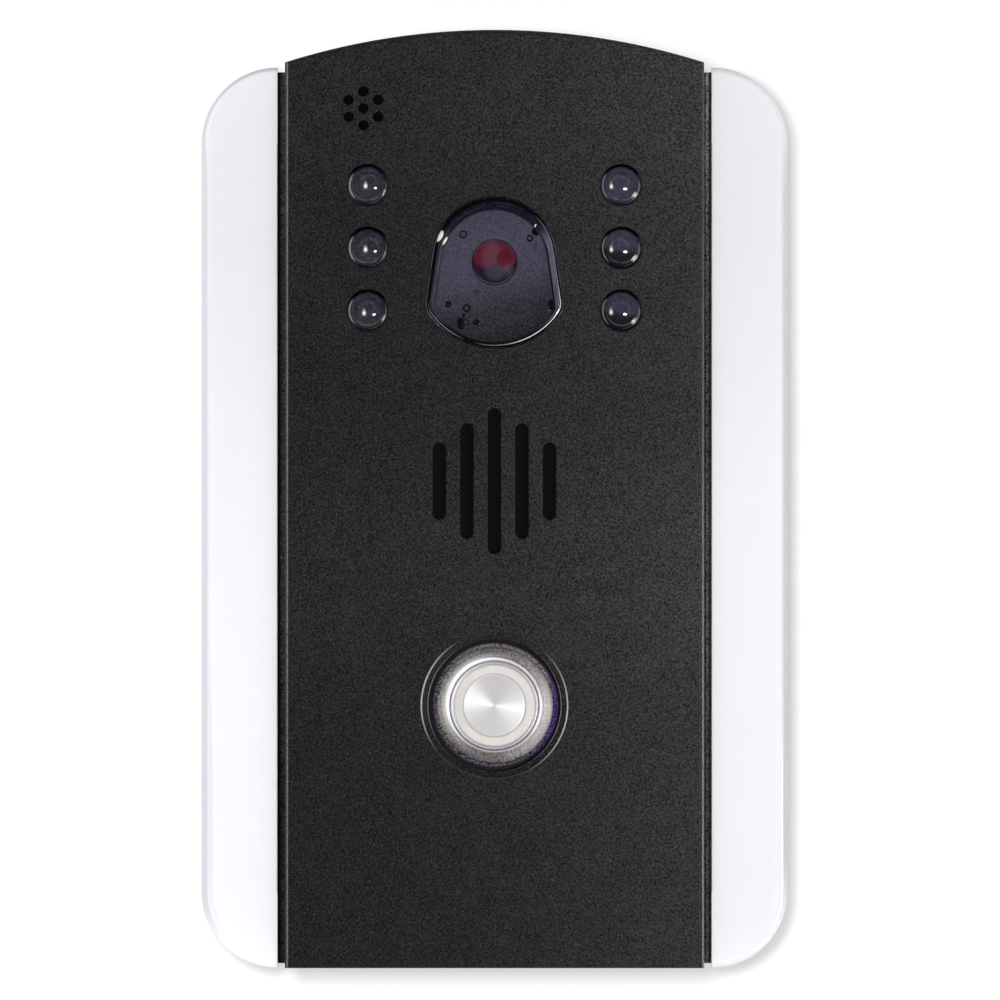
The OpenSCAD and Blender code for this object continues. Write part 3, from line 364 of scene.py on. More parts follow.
def powderCoat(name, lift=1.0, grooved=False):
    paint = Paint(name)
    spot = paint.place()
    x, y, z = paint.axes(spot)
    grain = paint.noise(spot, 2.6, 3.0, 0.75)
    cloud = paint.noise(spot, 0.09)
    speck = paint.noise(spot, 2.4, 2.0, 0.8).step(0.60, 0.78)
    lightAndBands = x * 0.0118 + x * x * 0.00018 + 1.06  # painted light, a little paler towards the right edge
    rows = z.band(-32, 4, 14) * 0.24 + z.step(50, 72) * 0.20 + z.step(-80, -50) * 0.06  # and paler at three heights
    facing = (y * -1).step(*coat["grooveLevels" if grooved else "frontLevels"])  # 1 on what faces forwards
    lightAndBands = (lightAndBands * (rows + 0.87) - coat["even"]) * facing + coat["even"]
    blotch = paint.noise(spot, 0.3)
    tone = (grain * 6.4 - 2.6 + cloud * 0.2 + blotch * 0.5).larger(0.08) * (coat["ground"] * lift) * lightAndBands
    tone = tone + speck * (coat["speck"] * lift)
    if grooved:  # painted light on the strip beside the cover, much paler on the right, and painted shade at both its sides
        strip = abs(x).band(39.62, 40.62, 0.14)
        onLeft, onRight = x.fall(-5, 5), x.step(-5, 5)
        stripLight = onLeft * (grain.step(0.60, 0.72) * 2.2 + 1.2 - z.step(-10, -60) * 0.6)
        stripLight = stripLight + onRight * (z.step(30, 75) * 6.0 + 5.6)
        tone = ((strip * stripLight + onRight * 0.9 - 0.5) * facing + 0.8) * tone
    else:  # painted highlights along the two side bends, and on a bevel round the button
        left = x.band(-39.18, -38.88, 0.07) * 0.75
        right = x.band(39.12, 39.46, 0.07) * (1.1 - z.step(-60, 75) * 0.9)
        tone = tone + (left + right) * grain * coat["foldHighlight"]
        angle, away = buttonPolar(paint)
        bright = angle.near(168, 30, 24) * 0.42 + angle.near(-8, 34, 30) * 0.38
        below = angle.near(-118, 62, 34) * 0.022
        line = away.band(13.66, 13.90, 0.08) * (bright + below)
        inner = away.band(12.42, 12.60, 0.08) * (bright * 0.6 + below)
        tone = tone + line + inner * (grain * 0.8 + 0.6)
    colour = paint.node("CombineColor", sockets={0: tone, 1: tone * 0.995, 2: tone * 0.985})
    return paint.surface(colour, Roughness=grain * 0.22 + coat["roughness"],
                         Specular_IOR_Level=coat["specular"], Normal=paint.bump(grain, 0.55, 0.06))


cover = {
    **extent("faceplate"), "archRadius": 130.5, "skin": 2.0, "side": 1.5, "edge": 1.0, "holeEdge": 0.2,
    "lip": 0.2, "screwX": 24.0, "screwLevel": 14.0, "screwHole": [(2.8, 0), (1.6, 1.35), (1.6, 1.5)],
}
cover["inside"] = cover["front"] - cover["skin"]

window = {"topRadius": 11.7, "z": 45.2, "cornerRadius": 4.0, "cornerX": 9.0, "cornerDrop": 8.3, "drop": 16.8,
          "middle": 42.0}
lamps = {"radius": 3.75, "x": 23.9, "z": 47.3, "pitch": 11.8,
         "tips": [(0.1, -0.25), (0.4, -0.1), (0.4, 0.1), (-0.45, -0.1), (-0.4, -0.1), (-0.4, 0.0)]}
microphone = {"centre": (-24.7, 73.6), "holeRadius": 0.95, "ringRadius": 3.2}
speaker = {"z": 3.35, "width": 2.45, "pitch": 5.19, "lengths": (14.5, 21.7, 27.5, 21.7, 14.5)}
button = {
    "centre": (0.0, -38.9), "hole": 12.5, "bevel": 1.5,
    # angle round the axis and how white the painted highlight makes the disc's spun face there
    "wedges": [(-180, 0.76), (-177, 0.71), (-165, 0.43), (-153, 0.27), (-141, 0.18), (-117, 0.09), (-90, 0.11),
               (-72, 0.16), (-60, 0.24), (-48, 0.40), (-36, 0.52), (-24, 0.62), (-11, 0.94), (-1, 0.86),
               (12, 0.46), (24, 0.28), (48, 0.11), (62, 0.0), (106, 0.01), (120, 0.12), (132, 0.38),
               (144, 0.66), (157, 0.86), (169, 0.97), (180, 0.76)],
    # angle and the painted shade of the blasted flange there
    "flange": [(-180, 0.245), (-135, 0.13), (-90, 0.110), (-45, 0.29), (0, 0.43), (45, 0.205), (90, 0.115),
               (135, 0.175), (180, 0.245)],
}
lampCentres = [(side * lamps["x"], lamps["z"] + row * lamps["pitch"]) for side in (-1, 1) for row in (-1, 0, 1)]


# outline of the cover: three straight sides and an arch about (0, top - R), each moved outwards by the offset
def coverLoop(offset):
    half, r = cover["right"] + offset, cover["archRadius"] + offset
    archZ = cover["top"] - cover["archRadius"]
    lean = np.degrees(np.arccos(half / r))
    base = cover["bottom"] - offset
    shoulder = archZ + r * np.sin(np.radians(lean))
    rows = np.linspace(base, shoulder, 9)
    right = np.stack([np.full(8, half), rows[:-1]], 1)
    left = np.stack([np.full(8, -half), rows[::-1][1:]], 1)
    return np.concatenate([right, arc((0, archZ), r, lean, 180 - lean, 48), left])


# outline of the window: a round top, two flanks, two small corners and a shallow foot, all tangent arcs:
# point = centre + (radius + offset)(cos a, sin a)
def windowLoop(offset):
    cornerX, drop, small = window["cornerX"], window["cornerDrop"], window["cornerRadius"]
    flank = np.degrees(np.arccos((window["topRadius"] - small) / np.hypot(cornerX, drop)))
    flank -= np.degrees(np.arctan2(drop, cornerX))
    reach = window["drop"] - drop - small
    rise = (cornerX ** 2 - reach ** 2) / (2 * reach)
    lean = -np.degrees(np.arctan2(rise, cornerX))
    cornerZ = window["z"] - drop
    return np.concatenate([
        arc((0, window["z"]), window["topRadius"] + offset, flank, 180 - flank, 48),
        arc((-cornerX, cornerZ), small + offset, 180 - flank, 180 - lean, 12)[1:],
        arc((0, cornerZ + rise), rise + reach + small + offset, 180 - lean, 360 + lean, 28)[1:],
        arc((cornerX, cornerZ), small + offset, 360 + lean, 360 + flank, 12)[1:-1]])


# quarter round between the front face and a wall, for +edge outwards:
# (edge (1 - sin a), front - |edge| (1 - cos a))
def quarterRound(edge, steps):
    a = np.radians(np.linspace(0, 90, steps + 1))
    return np.stack([edge * (1 - np.sin(a)), cover["front"] - abs(edge) * (1 - np.cos(a))], 1)


# round cap of a ball of radius R = (r^2 + rise^2) / 2 rise: (R sin a, front - R (1 - cos a))
def dome(r, rise, front, steps):
    ball = (r * r + rise * rise) / (2 * rise)
    a = np.linspace(0, np.arcsin(r / ball), steps + 1)
    return np.stack([ball * np.sin(a), front - ball * (1 - np.cos(a))], 1)


# countersunk holes through the bottom wall for the security screws: rows of (radius, height above the bottom),
# point = (x + r cos a, -(v + r sin a), bottom + height)
def bottomHoles(part):
    a = np.radians(np.arange(0, 360, 9))
    rim, foot = [], []
    for x in (-cover["screwX"], cover["screwX"]):
        rows = [np.stack([x + r * np.cos(a), -cover["screwLevel"] - r * np.sin(a),
                          np.full(len(a), cover["bottom"] + height)], -1) * mm
                for r, height in cover["screwHole"]]
        part.grid(np.stack(rows))
        rim.append(rows[0])
        foot.append(rows[-1])
    for inset, low, high, loops in ((0, cover["back"] + cover["lip"], cover["front"] - cover["edge"], rim),
                                    (cover["side"], cover["back"], cover["inside"], foot)):
        half, z = cover["right"] - inset, cover["bottom"] + inset
        wall = np.array([(-half, -low, z), (half, -low, z), (half, -high, z), (-half, -high, z)]) * mm
        part.fills.append([wall] + loops)


# cover: its outline carried round the folded edge, each opening carried inwards, and both faces filled
def makeCover():
    part = Part("coverPlate")
    edge, side, fillet, foot, lip = [cover[key] for key in ("edge", "side", "holeEdge", "back", "lip")]
    steps, bottom = 8, len(coverLoop(0)) - 1  # of the rounded edge, and the bottom wall's column of faces
    outside = np.concatenate([quarterRound(-edge, steps), [(0, foot + lip), (-lip, foot), (-side, foot),
                                                           (-side, cover["inside"])]])
    part.around(coverLoop, outside, skip=((steps, bottom), (len(outside) - 2, bottom)))
    bottomHoles(part)
    holes = [lambda o, at=at: circleLoop(at, lamps["radius"] + 0.25 + o, 64) for at in lampCentres]
    spots = [microphone["centre"], *arc(microphone["centre"], microphone["ringRadius"], 90, 390, 5)]
    holes += [lambda o, at=at: circleLoop(at, microphone["holeRadius"] + o, 32) for at in spots]
    slots = [(((i - 2) * speaker["pitch"], speaker["z"]), length)
             for i, length in enumerate(speaker["lengths"])]
    holes += [lambda o, at=at, length=length: slotLoop(at, speaker["width"], length, o) for at, length in slots]
    holes.append(lambda o: windowLoop(o + 0.05))
    front, back = [coverLoop(-edge)], [coverLoop(-side)]
    inward = np.concatenate([quarterRound(fillet, 4), [(0, cover["inside"])]])
    for hole in holes:
        part.around(hole, inward)
        front.append(hole(fillet))
        back.append(hole(0))
    bevel, flat = button["bevel"], button["bevel"] + 0.4
    recess = lambda o: circleLoop(button["centre"], button["hole"] + o, 96)
    part.around(recess, rounded([(flat, cover["front"]), (bevel, cover["front"], 0.3),
                                 (0, cover["front"] - bevel / 2, 0.1), (0, cover["inside"])]))
    front.append(recess(flat))
    back.append(recess(0))
    part.fill(front, cover["front"])
    part.fill(back, cover["inside"])
    part.finish("station", powderCoat("coverCoat"), ["faceplate"])


makeCover()
print("cover made")


wing = {
    **extent("right_wing"), "edge": 1.3, "innerEdge": 0.25, "white": (0.9015, 0.910, 0.944),
    # colour of the painted shade in the band inside the outer edge, for the left and the right
    "rim": {-1: (0.575, 0.59, 0.625), 1: (0.50, 0.515, 0.555)},
    # height along the wing and its painted shade there, for the left and the right
    "shade": {-1: [(0.0, 1.0), (0.19, 1.0), (0.36, 0.99), (0.52, 0.955), (0.69, 0.895), (0.80, 0.86),
                   (1.0, 0.86)],
              1: [(0.0, 0.93), (0.19, 0.95), (0.36, 0.945), (0.52, 0.935), (0.69, 0.88), (0.80, 0.855),
                  (1.0, 0.845)]},
}
wing["width"] = wing["right"] - wing["left"]


# opal acrylic: white face with painted shade, darker towards the top and the outer side, and a cooler, darker
# band of painted shade inside the outer edge, whose depth follows the distance from the outline: dark rim
# first, then a paler one
def acrylic(name, side):
    paint = Paint(name)
    spot = paint.place()
    x, _, z = paint.axes(spot)
    across = abs(x) - wing["left"]
    beyond = (z - (wing["top"] - wing["width"])).larger(wing["bottom"] + wing["width"] - z).larger(0)
    inward = wing["width"] - (across * across + beyond * beyond).root()
    height = (z - wing["bottom"]) / (wing["top"] - wing["bottom"])
    face = paint.ramp(height, [(at, tuple(shade * part for part in wing["white"]))
                               for at, shade in wing["shade"][side]])
    # painted shade, a little darker towards the outer side
    face = paint.mix(across.step(4, 12) * 0.05, face, (0.40, 0.405, 0.42))
    # painted shade inside the outer edge: a dark band, and on the left a paler one deeper in
    if side < 0:
        narrow = z.step(58, 76) * 0.5
        dark = (inward + narrow).fall(0.9, 1.3) * z.step(-87, -76)
        deep = 2.15 - z.step(-55, -20) * 0.6
        soft = (inward - deep).fall(-0.2, 0.2) * z.fall(30, 60) * z.step(-86, -72) * 0.85
    else:
        dark = inward.fall(0.45, 1.5) * (1 - z.step(56, 78) * 0.8) * z.step(-86, -66)
        soft = dark * 0.3
    tone = paint.mix(soft, face, (0.76, 0.775, 0.815))
    tone = paint.mix(dark, tone, wing["rim"][side])
    ripple = paint.noise(paint.node("Mapping", sockets={"Vector": spot, "Scale": (0.4, 0.4, 0.03)}), 1.0)
    haze = paint.noise(spot, 0.5, 3.0)
    return paint.surface(tone, Roughness=haze * 0.06 + 0.09, IOR=1.49, Specular_IOR_Level=0.28,
                         Subsurface_Weight=0.35, Subsurface_Scale=0.004, Subsurface_Radius=(1.0, 1.0, 1.0),
                         Normal=paint.bump(ripple, 0.12, 0.05))


# profile of (outward, level) turned a quarter about the foot corner, carried straight up, and turned about the
# top corner: point = (left + outward cos a, -level, corner + outward sin a)
def makeWing(name, side):
    part = Part(name)
    width, front, back = wing["width"], wing["front"], wing["back"]
    profile = rounded([(0, back, 0.2), (width, back, 0.4), (width, front, wing["edge"]),
                       (0, front, wing["innerEdge"])], closed=True, steps=8)
    low, high = wing["bottom"] + width, wing["top"] - width
    turn = np.radians(np.concatenate([np.linspace(-90, 0, 33), np.linspace(0, 90, 33)]))
    corner = np.stack([np.full(66, wing["left"]), np.repeat([low, high], 33)], 1)
    way = np.stack([np.cos(turn), np.sin(turn)], 1)
    plan = profile[None, :, :1] * way[:, None, :] + corner[:, None, :]
    plan[..., 0] *= side
    part.grid(place(plan, profile[None, :, 1]))
    part.finish("station", acrylic(name + "Acrylic", side),
                ["right_wing" if side > 0 else "left_wing"])


makeWing("rightWing", 1)
makeWing("leftWing", -1)
print("wings made")


clear = {**extent("camera_window"), "edge": 0.75, "wall": 2.2, "gap": 0.2, "inner": 1.6, "flange": 2.2}


# angle round the window's middle, in degrees
def windowAngle(paint):
    x, _, z = paint.axes(paint.place())
    return paint.degrees(z - window["middle"], x)


# clear plastic: Fresnel gloss over a faint violet tint, with painted shade blackening the edge and one painted
# highlight line
def smokedWindow():
    paint = Paint("windowSmoke")
    spot = paint.place()
    x, y, z = paint.axes(spot)
    angle = windowAngle(paint)
    drop = y + clear["front"]  # depth behind the front face
    lowRight = angle.near(-25, 72, 12)
    # painted shade: black over the rounded edge, starting a little deeper to the lower right
    black = (drop - lowRight * 0.16).step(0.004, 0.03) * drop.fall(1.0, 1.4)
    corner = angle.near(-45, 30, 14)
    # painted highlight: a pale line along the edge, strongest to the lower right
    line = drop.band(0.07, 0.19, 0.02) * (lowRight * 0.38 + corner * 0.6 + angle.near(-137, 16, 8) * 0.2)
    paintedGlints = 0  # painted highlights: three short slanted glints, where (along / length)^2 + (across / width)^2 < 1
    for u, w, length, width in ((-10.3, 49.5, 1.25, 0.62), (-9.3, 48.6, 1.0, 0.26), (7.7, 51.5, 0.4, 0.14)):
        along = ((x - u) * 0.5 + (z - w) * 0.866) / length
        across = ((x - u) * 0.866 - (z - w) * 0.5) / width
        paintedGlints = (along * along + across * across).fall(0.5, 1.1) + paintedGlints
    paintedGlints = paintedGlints.smaller(1) * drop.fall(0.3, 0.5)
    pale = line.larger(paintedGlints)
    haze = paint.noise(spot, 0.8, 3.0)
    ground = paint.mix(haze, (0.0015, 0.0015, 0.002), (0.004, 0.0035, 0.006))
    skin = paint.principled(paint.mix(pale, ground, (0.62, 0.62, 0.58)), Roughness=0.12,
                            Specular_IOR_Level=0.08)
    clearBody = paint.node("BsdfTransparent", sockets={"Color": (0.90, 0.89, 0.93)})
    outer = drop.step(clear["wall"] - 0.6, clear["wall"] - 0.3)
    fresnel = paint.node("Fresnel", sockets={"IOR": 1.49}) * (1 - outer * 0.85)
    shine = paint.node("BsdfGlossy", sockets={"Roughness": 0.04, "Color": (1.0, 1.0, 1.0)})
    glass = paint.node("MixShader", sockets={0: fresnel, 1: clearBody, 2: shine})
    return paint.use(paint.node("MixShader", sockets={0: black.larger(pale), 1: glass, 2: skin}))


# clear body: its outline carried round a profile of rounded rim, flange, back and hollow, both flats filled
def makeWindow():
    part = Part("clearWindow")
    outline = lambda o: windowLoop(o - clear["gap"])
    front, back, hollow = clear["front"], clear["back"], clear["front"] - clear["wall"]
    out, inner, flange = clear["flange"] + clear["gap"], -clear["inner"], clear["back"] + 1.2
    part.around(outline, rounded([
        (-3.0, front), (0, front, clear["edge"]), (0, flange), (out, flange), (out, back), (inner, back),
        (inner, hollow, 0.4), (-3.4, hollow)], steps=6))
    part.fill([outline(-3.0)], front)
    part.fill([outline(-3.4)], hollow)
    part.finish("station", smokedWindow(), ["camera_window"], sharp=40)


mask = {"rim": clear["back"], "plateau": clear["back"] - 2.2, "floor": clear["back"] - 3.8,
        "lip": -0.6, "foot": -1.85, "drop": 0.6}
lens = {"z": 44.7, "radius": 4.15, "rise": 0.95}


# pocket behind the window: dark violet flanks with painted light, paler on the right, and a lilac-grey plateau
def maskFinish():
    paint = Paint("maskSatin")
    spot = paint.place()
    x, y, z = paint.axes(spot)
    low, high = window["z"] - window["drop"], window["z"] + window["topRadius"]
    height = (z - low) / (high - low) - x * 0.008
    plateau = paint.ramp(height, [(0.0, (0.027, 0.029, 0.025)), (0.24, (0.034, 0.035, 0.034)),
                                  (0.46, (0.096, 0.090, 0.115)), (0.75, (0.102, 0.096, 0.127)),
                                  (1.0, (0.078, 0.075, 0.100))])
    angle = windowAngle(paint)
    climb = (y * -1 - mask["plateau"]) / (mask["rim"] - mask["plateau"])  # 0 at the plateau, 1 at the rim
    right, left = angle.near(-2, 42, 10), angle.near(182, 42, 10)
    foot = angle.near(-90, 50, 12)
    # painted light on the flanks: darkest along the top, paler at the foot, paler again on the left and most on
    # the right
    flank = paint.mix(foot, (0.008, 0.007, 0.018), (0.034, 0.034, 0.036))
    flank = paint.layers(flank, (left, (0.26, 0.26, 0.32)), (right, (0.37, 0.355, 0.43)))
    streaks = paint.noise(paint.vector(climb * 5.0, angle * 0.03), 1.0, 3.0)
    flank = paint.layers(
        flank, (streaks.step(0.52, 0.66) * 0.7, (0.004, 0.003, 0.010)),
        (streaks.fall(0.34, 0.46) * 0.5, (0.10, 0.095, 0.14)))
    seam = climb.band(0.06, 0.34, 0.05) * right  # black joints that run round the flank
    seam = seam.larger(climb.band(0.12, 0.24, 0.05) * left)
    seam = seam.larger(climb.band(0.5, 0.72, 0.06) * (left * 0.4).larger(foot))
    flank = paint.mix(seam, flank, (0.002, 0.002, 0.008))
    tone = paint.mix(climb.step(0.02, 0.06), plateau, flank)
    fine = paint.noise(spot, 3.0, 3.0, 0.75)
    tone = paint.layers(
        tone, (fine.step(0.47, 0.64) * 0.40, (0.14, 0.135, 0.155)),
        (fine.fall(0.36, 0.50) * 0.55, (0.012, 0.012, 0.018)))
    return paint.surface(tone, Roughness=0.6, Specular_IOR_Level=0.15, Normal=paint.bump(fine, 0.3, 0.02))


# pocket: flanks from the lip down to a smaller foot, lip + (foot - lip) t, and a plateau round the lens
def makeMask():
    part = Part("maskPocket")
    hole = lambda o: circleLoop((0, lens["z"]), lens["radius"] + 0.15 + o, 96)
    rim, plateau, floor = mask["rim"], mask["plateau"], mask["floor"]
    foot = windowLoop(mask["foot"]) - np.array([0, mask["drop"]])
    part.around(windowLoop, [(mask["lip"], rim), (2.2, rim), (2.2, floor), (0, floor)])
    upper, lower = place(windowLoop(mask["lip"]), rim), place(foot, plateau)
    part.grid(upper + (lower - upper) * np.linspace(0, 1, 9)[:, None, None])
    part.around(hole, rounded([(0.35, plateau), (0, plateau, 0.2), (0, floor)]))
    part.fill([foot, hole(0.35)], plateau)
    part.fill([windowLoop(0), hole(0)], floor)
    part.finish("station", maskFinish(), ["camera_mask"], sharp=40)


# coated front glass with painted reflections: two red lobes, a mauve one between them, grey-blue low down, navy
# sides
def lensFinish():
    paint = Paint("lensCoated")
    across, up, _ = paint.axes(paint.node("UVMap", {"uv_map": "marks"}))

    def lobe(x, z, wide, high, soft):  # 1 where ((across - x) / wide)^2 + ((up - z) / high)^2 < 1
        u, w = (across - x) / wide, (up - z) / high
        return (u * u + w * w).root().fall(1 - soft, 1 + soft)

    fine = paint.noise(paint.place(), 3.0, 3.0, 0.7)
    tone = paint.mix(lobe(0, 0.30, 1.05, 0.62, 0.12), (0.028, 0.016, 0.035), (0.160, 0.022, 0.038))
    tone = paint.layers(
        tone, (lobe(-0.12, 0.30, 0.40, 0.72, 0.55) * 0.85, (0.200, 0.070, 0.090)),
        (lobe(0.46, 0.12, 0.38, 0.42, 0.15) * 0.8, (0.150, 0.011, 0.024)),
        (lobe(0.0, -0.46, 0.40, 0.36, 0.35) * 0.85, (0.060, 0.070, 0.088)),
        ((fine - 0.5) * 1.2, (0.01, 0.005, 0.015)))
    away = (across * across + up * up).root()
    # painted highlight: a pale rim, full low down and half as strong at the top
    rim = away.step(0.93, 0.98) * (1 - up.step(-0.7, -0.2) * (1 - up.step(0.2, 0.5) * 0.5))
    tone = paint.mix(rim * 0.6, tone, (0.22, 0.20, 0.24))
    return paint.surface(tone, Roughness=0.35, Specular_IOR_Level=0.1)


# front glass: a shallow dome turned about the lens's axis
def makeLens():
    part = Part("frontLens")
    ends = extent("lens_element")
    front = dome(lens["radius"], lens["rise"], ends["front"], 16)
    part.turned((0, lens["z"]), np.concatenate([front, [(lens["radius"], ends["back"]), (0, ends["back"])]]),
                markRadius=lens["radius"])
    part.finish("station", lensFinish(), ["lens_element"])


# small air bubbles behind the window, flat rings and beads: x, z, radius of the ring and of its wall
bubbles = [(-5.9, 49.9, 0.62, 0.16), (6.7, 49.2, 0.5, 0.16), (-8.7, 36.7, 0.4, 0.25), (-5.2, 36.0, 0.6, 0.2),
           (-3.3, 33.3, 0.35, 0.3), (-3.5, 39.0, 0.42, 0.08), (-6.3, 33.5, 0.3, 0.42), (-6.2, 32.7, 0.3, 0.42),
           (-5.8, 34.7, 0.1, 0.2), (7.8, 50.5, 0.42, 0.4), (10.8, 36.9, 0.35, 0.35), (10.9, 36.2, 0.3, 0.3)]


# one ring after another, its section being (r + wall cos a, plateau + thin (1 + sin a))
def makeBubbles():
    part = Part("windowBubbles")
    for x, z, r, wall in bubbles:
        a, thin = np.radians(np.arange(0, 360, 45)), 0.05
        ring = np.stack([np.maximum(r + wall * np.cos(a), 0), mask["plateau"] + thin + thin * np.sin(a)], 1)
        part.turned((x, z), ring, steps=20)
    dark = plainFinish("bubbleDark", (0.005, 0.005, 0.009), 0.3, drift=0.5)
    part.finish("station", dark)


makeWindow()
makeMask()
makeLens()
makeBubbles()
print("camera window made")


lamps.update(extent("ir_leds"), shoulder=cover["front"] - 1)


# smoked epoxy: violet-grey body with a painted reflection of the chip's cup, painted shade black under the top
# rim, and painted reflections as pale crescents just inside the edge
def lampFinish():
    paint = Paint("lampSmoked")
    across, up, _ = paint.axes(paint.node("UVMap", {"uv_map": "marks"}))
    spot = paint.place()
    x, _, z = paint.axes(spot)
    away = (across * across + up * up).root()
    angle = paint.degrees(up, across)
    rightColumn = x.step(-5, 5)
    fine = paint.noise(spot, 1.6, 3.0, 0.7)
    lowTone = paint.mix(rightColumn, (0.028, 0.027, 0.032), (0.036, 0.037, 0.052))
    highTone = paint.mix(rightColumn, (0.023, 0.022, 0.030), (0.037, 0.035, 0.056))
    tone = paint.mix(up.step(-0.8, 0.5), lowTone, highTone)
    swirl = paint.noise(spot, 0.75, 2.0, 0.6, 1.6)
    # swirls in the epoxy, and painted shade along the bottom edge
    tone = paint.layers(
        tone, (swirl.step(0.52, 0.66) * 0.45, (0.056, 0.054, 0.090)),
        (swirl.fall(0.36, 0.50) * 0.5, (0.014, 0.013, 0.020)),
        (up.fall(-0.92, -0.66) * 0.6, (0.008, 0.008, 0.010)))
    # painted shade over the lower part of the two lower lamps in the right column
    lowLamps = rightColumn * z.fall(53.0, 53.4)
    tone = paint.mix(lowLamps * (up + across * 0.15).fall(-0.3, 0.02) * 0.85, tone, (0.006, 0.0055, 0.009))
    halo = away.band(0.40, 0.52, 0.08) * up.step(-0.1, 0.2)  # faint violet arc above the middle
    tone = paint.mix(halo * fine.step(0.35, 0.65) * 0.4, tone, (0.12, 0.115, 0.16))
    # painted reflection of the cup: a drop standing on its round end, its width shrinking towards the top
    u = across + 0.20 + rightColumn * 0.22
    w = up + 0.02
    slim = 0.15 - w * 0.30
    glow = ((u / slim) ** 2 + (w / 0.27) ** 2).root().fall(0.1, 1.05)
    core = (u * u + (w + 0.05) ** 2 * 0.5).root().fall(0.02, 0.11)
    # the drop and its bright core, and painted shade black under the top rim
    tone = paint.layers(
        tone, (glow * 0.8, (0.34, 0.33, 0.27)), (core * 0.9, (0.86, 0.84, 0.74)),
        (up.step(0.35, 0.75) * away.step(0.89, 0.95), (0.001, 0.001, 0.002)))
    ring = away.band(0.89, 0.955, 0.025)  # painted reflections: crescents just inside the edge, and one bright spark
    side = angle.near(184, 36, 14) * 0.95 + angle.near(-14, 24, 14) * 0.5
    side = side + angle.near(-60, 22, 10) * 0.12
    tone = paint.mix(ring * side.smaller(1), tone, (0.36, 0.36, 0.33))
    spark = away.band(rightColumn * -0.06 + 0.84, 0.94, 0.03)
    spark = spark * (angle + rightColumn * 12).near(-25, 10, 6)
    tone = paint.layers(
        tone, (spark * fine.step(0.38, 0.56), (0.80, 0.80, 0.77)),
        (fine.step(0.5, 0.8) * 0.2, (0.10, 0.095, 0.12)))
    return paint.surface(tone, Roughness=0.08, IOR=1.5)


# six lamps: a dome on a straight barrel with a flange, turned about each lamp's axis
def makeLamps():
    part = Part("infraredLamps")
    r, flange, back = lamps["radius"], lamps["back"] + 2.5, lamps["back"]
    cap = dome(r, lamps["front"] - lamps["shoulder"], lamps["front"], 20)
    profile = np.concatenate([cap, [(r, flange + 1), (r + 0.6, flange + 1), (r + 0.6, flange), (r, flange),
                                    (r, back), (0, back)]])
    # each lamp leans a little its own way: its tip moves most, its edge not at all
    weight = np.zeros(len(profile))
    weight[:len(cap)] = 1 - (cap[:, 0] / r) ** 2
    for (x, z), tip in zip(lampCentres, lamps["tips"]):
        part.turned((x, z), profile, steps=64, markRadius=r, lean=weight[:, None, None] * np.array(tip))
    part.finish("station", lampFinish(), ["ir_leds"])


makeLamps()
print("lamps made")


bezel, rim, ring, disc = [extent("button_" + node) for node in ("bezel", "rim", "light_ring", "disc")]
bezel.update({"bore": 8.5, "bushing": 9.4, "wall": 1.4, "thickness": 1.8})


# turned steel: fine grooves round the axis, with two opposite painted highlights, wedges that read as white
def spunSteel():
    paint = Paint("discSteel")
    angle, away = buttonPolar(paint)
    bright = paint.turnRamp(angle, button["wedges"])
    grooves = paint.noise(paint.vector(away * 9.0), 1.0)
    cloud = paint.noise(paint.place(), 0.5)
    streak = grooves.step(0.3, 0.7) * 0.6 + cloud * 0.4
    tone = paint.mix(streak, (0.702, 0.676, 0.676), (0.793, 0.763, 0.763))
    tone = paint.mix(bright, tone, paint.mix(streak, (0.86, 0.855, 0.855), (0.92, 0.915, 0.91)))
    edge = away.step(disc["right"] - 0.3, disc["right"] - 0.15)  # matt rounded edge with painted shade, greyer low down
    lower = angle.near(-60, 110, 60)
    tone = paint.mix(edge * (lower * 0.6 + 0.2), tone, (0.40, 0.385, 0.40))
    return paint.surface(tone, Metallic=(1 - bright) * (1 - edge) * 0.45, Roughness=edge * 0.4 + 0.32,
                         Normal=paint.bump(grooves, 0.15, 0.02))


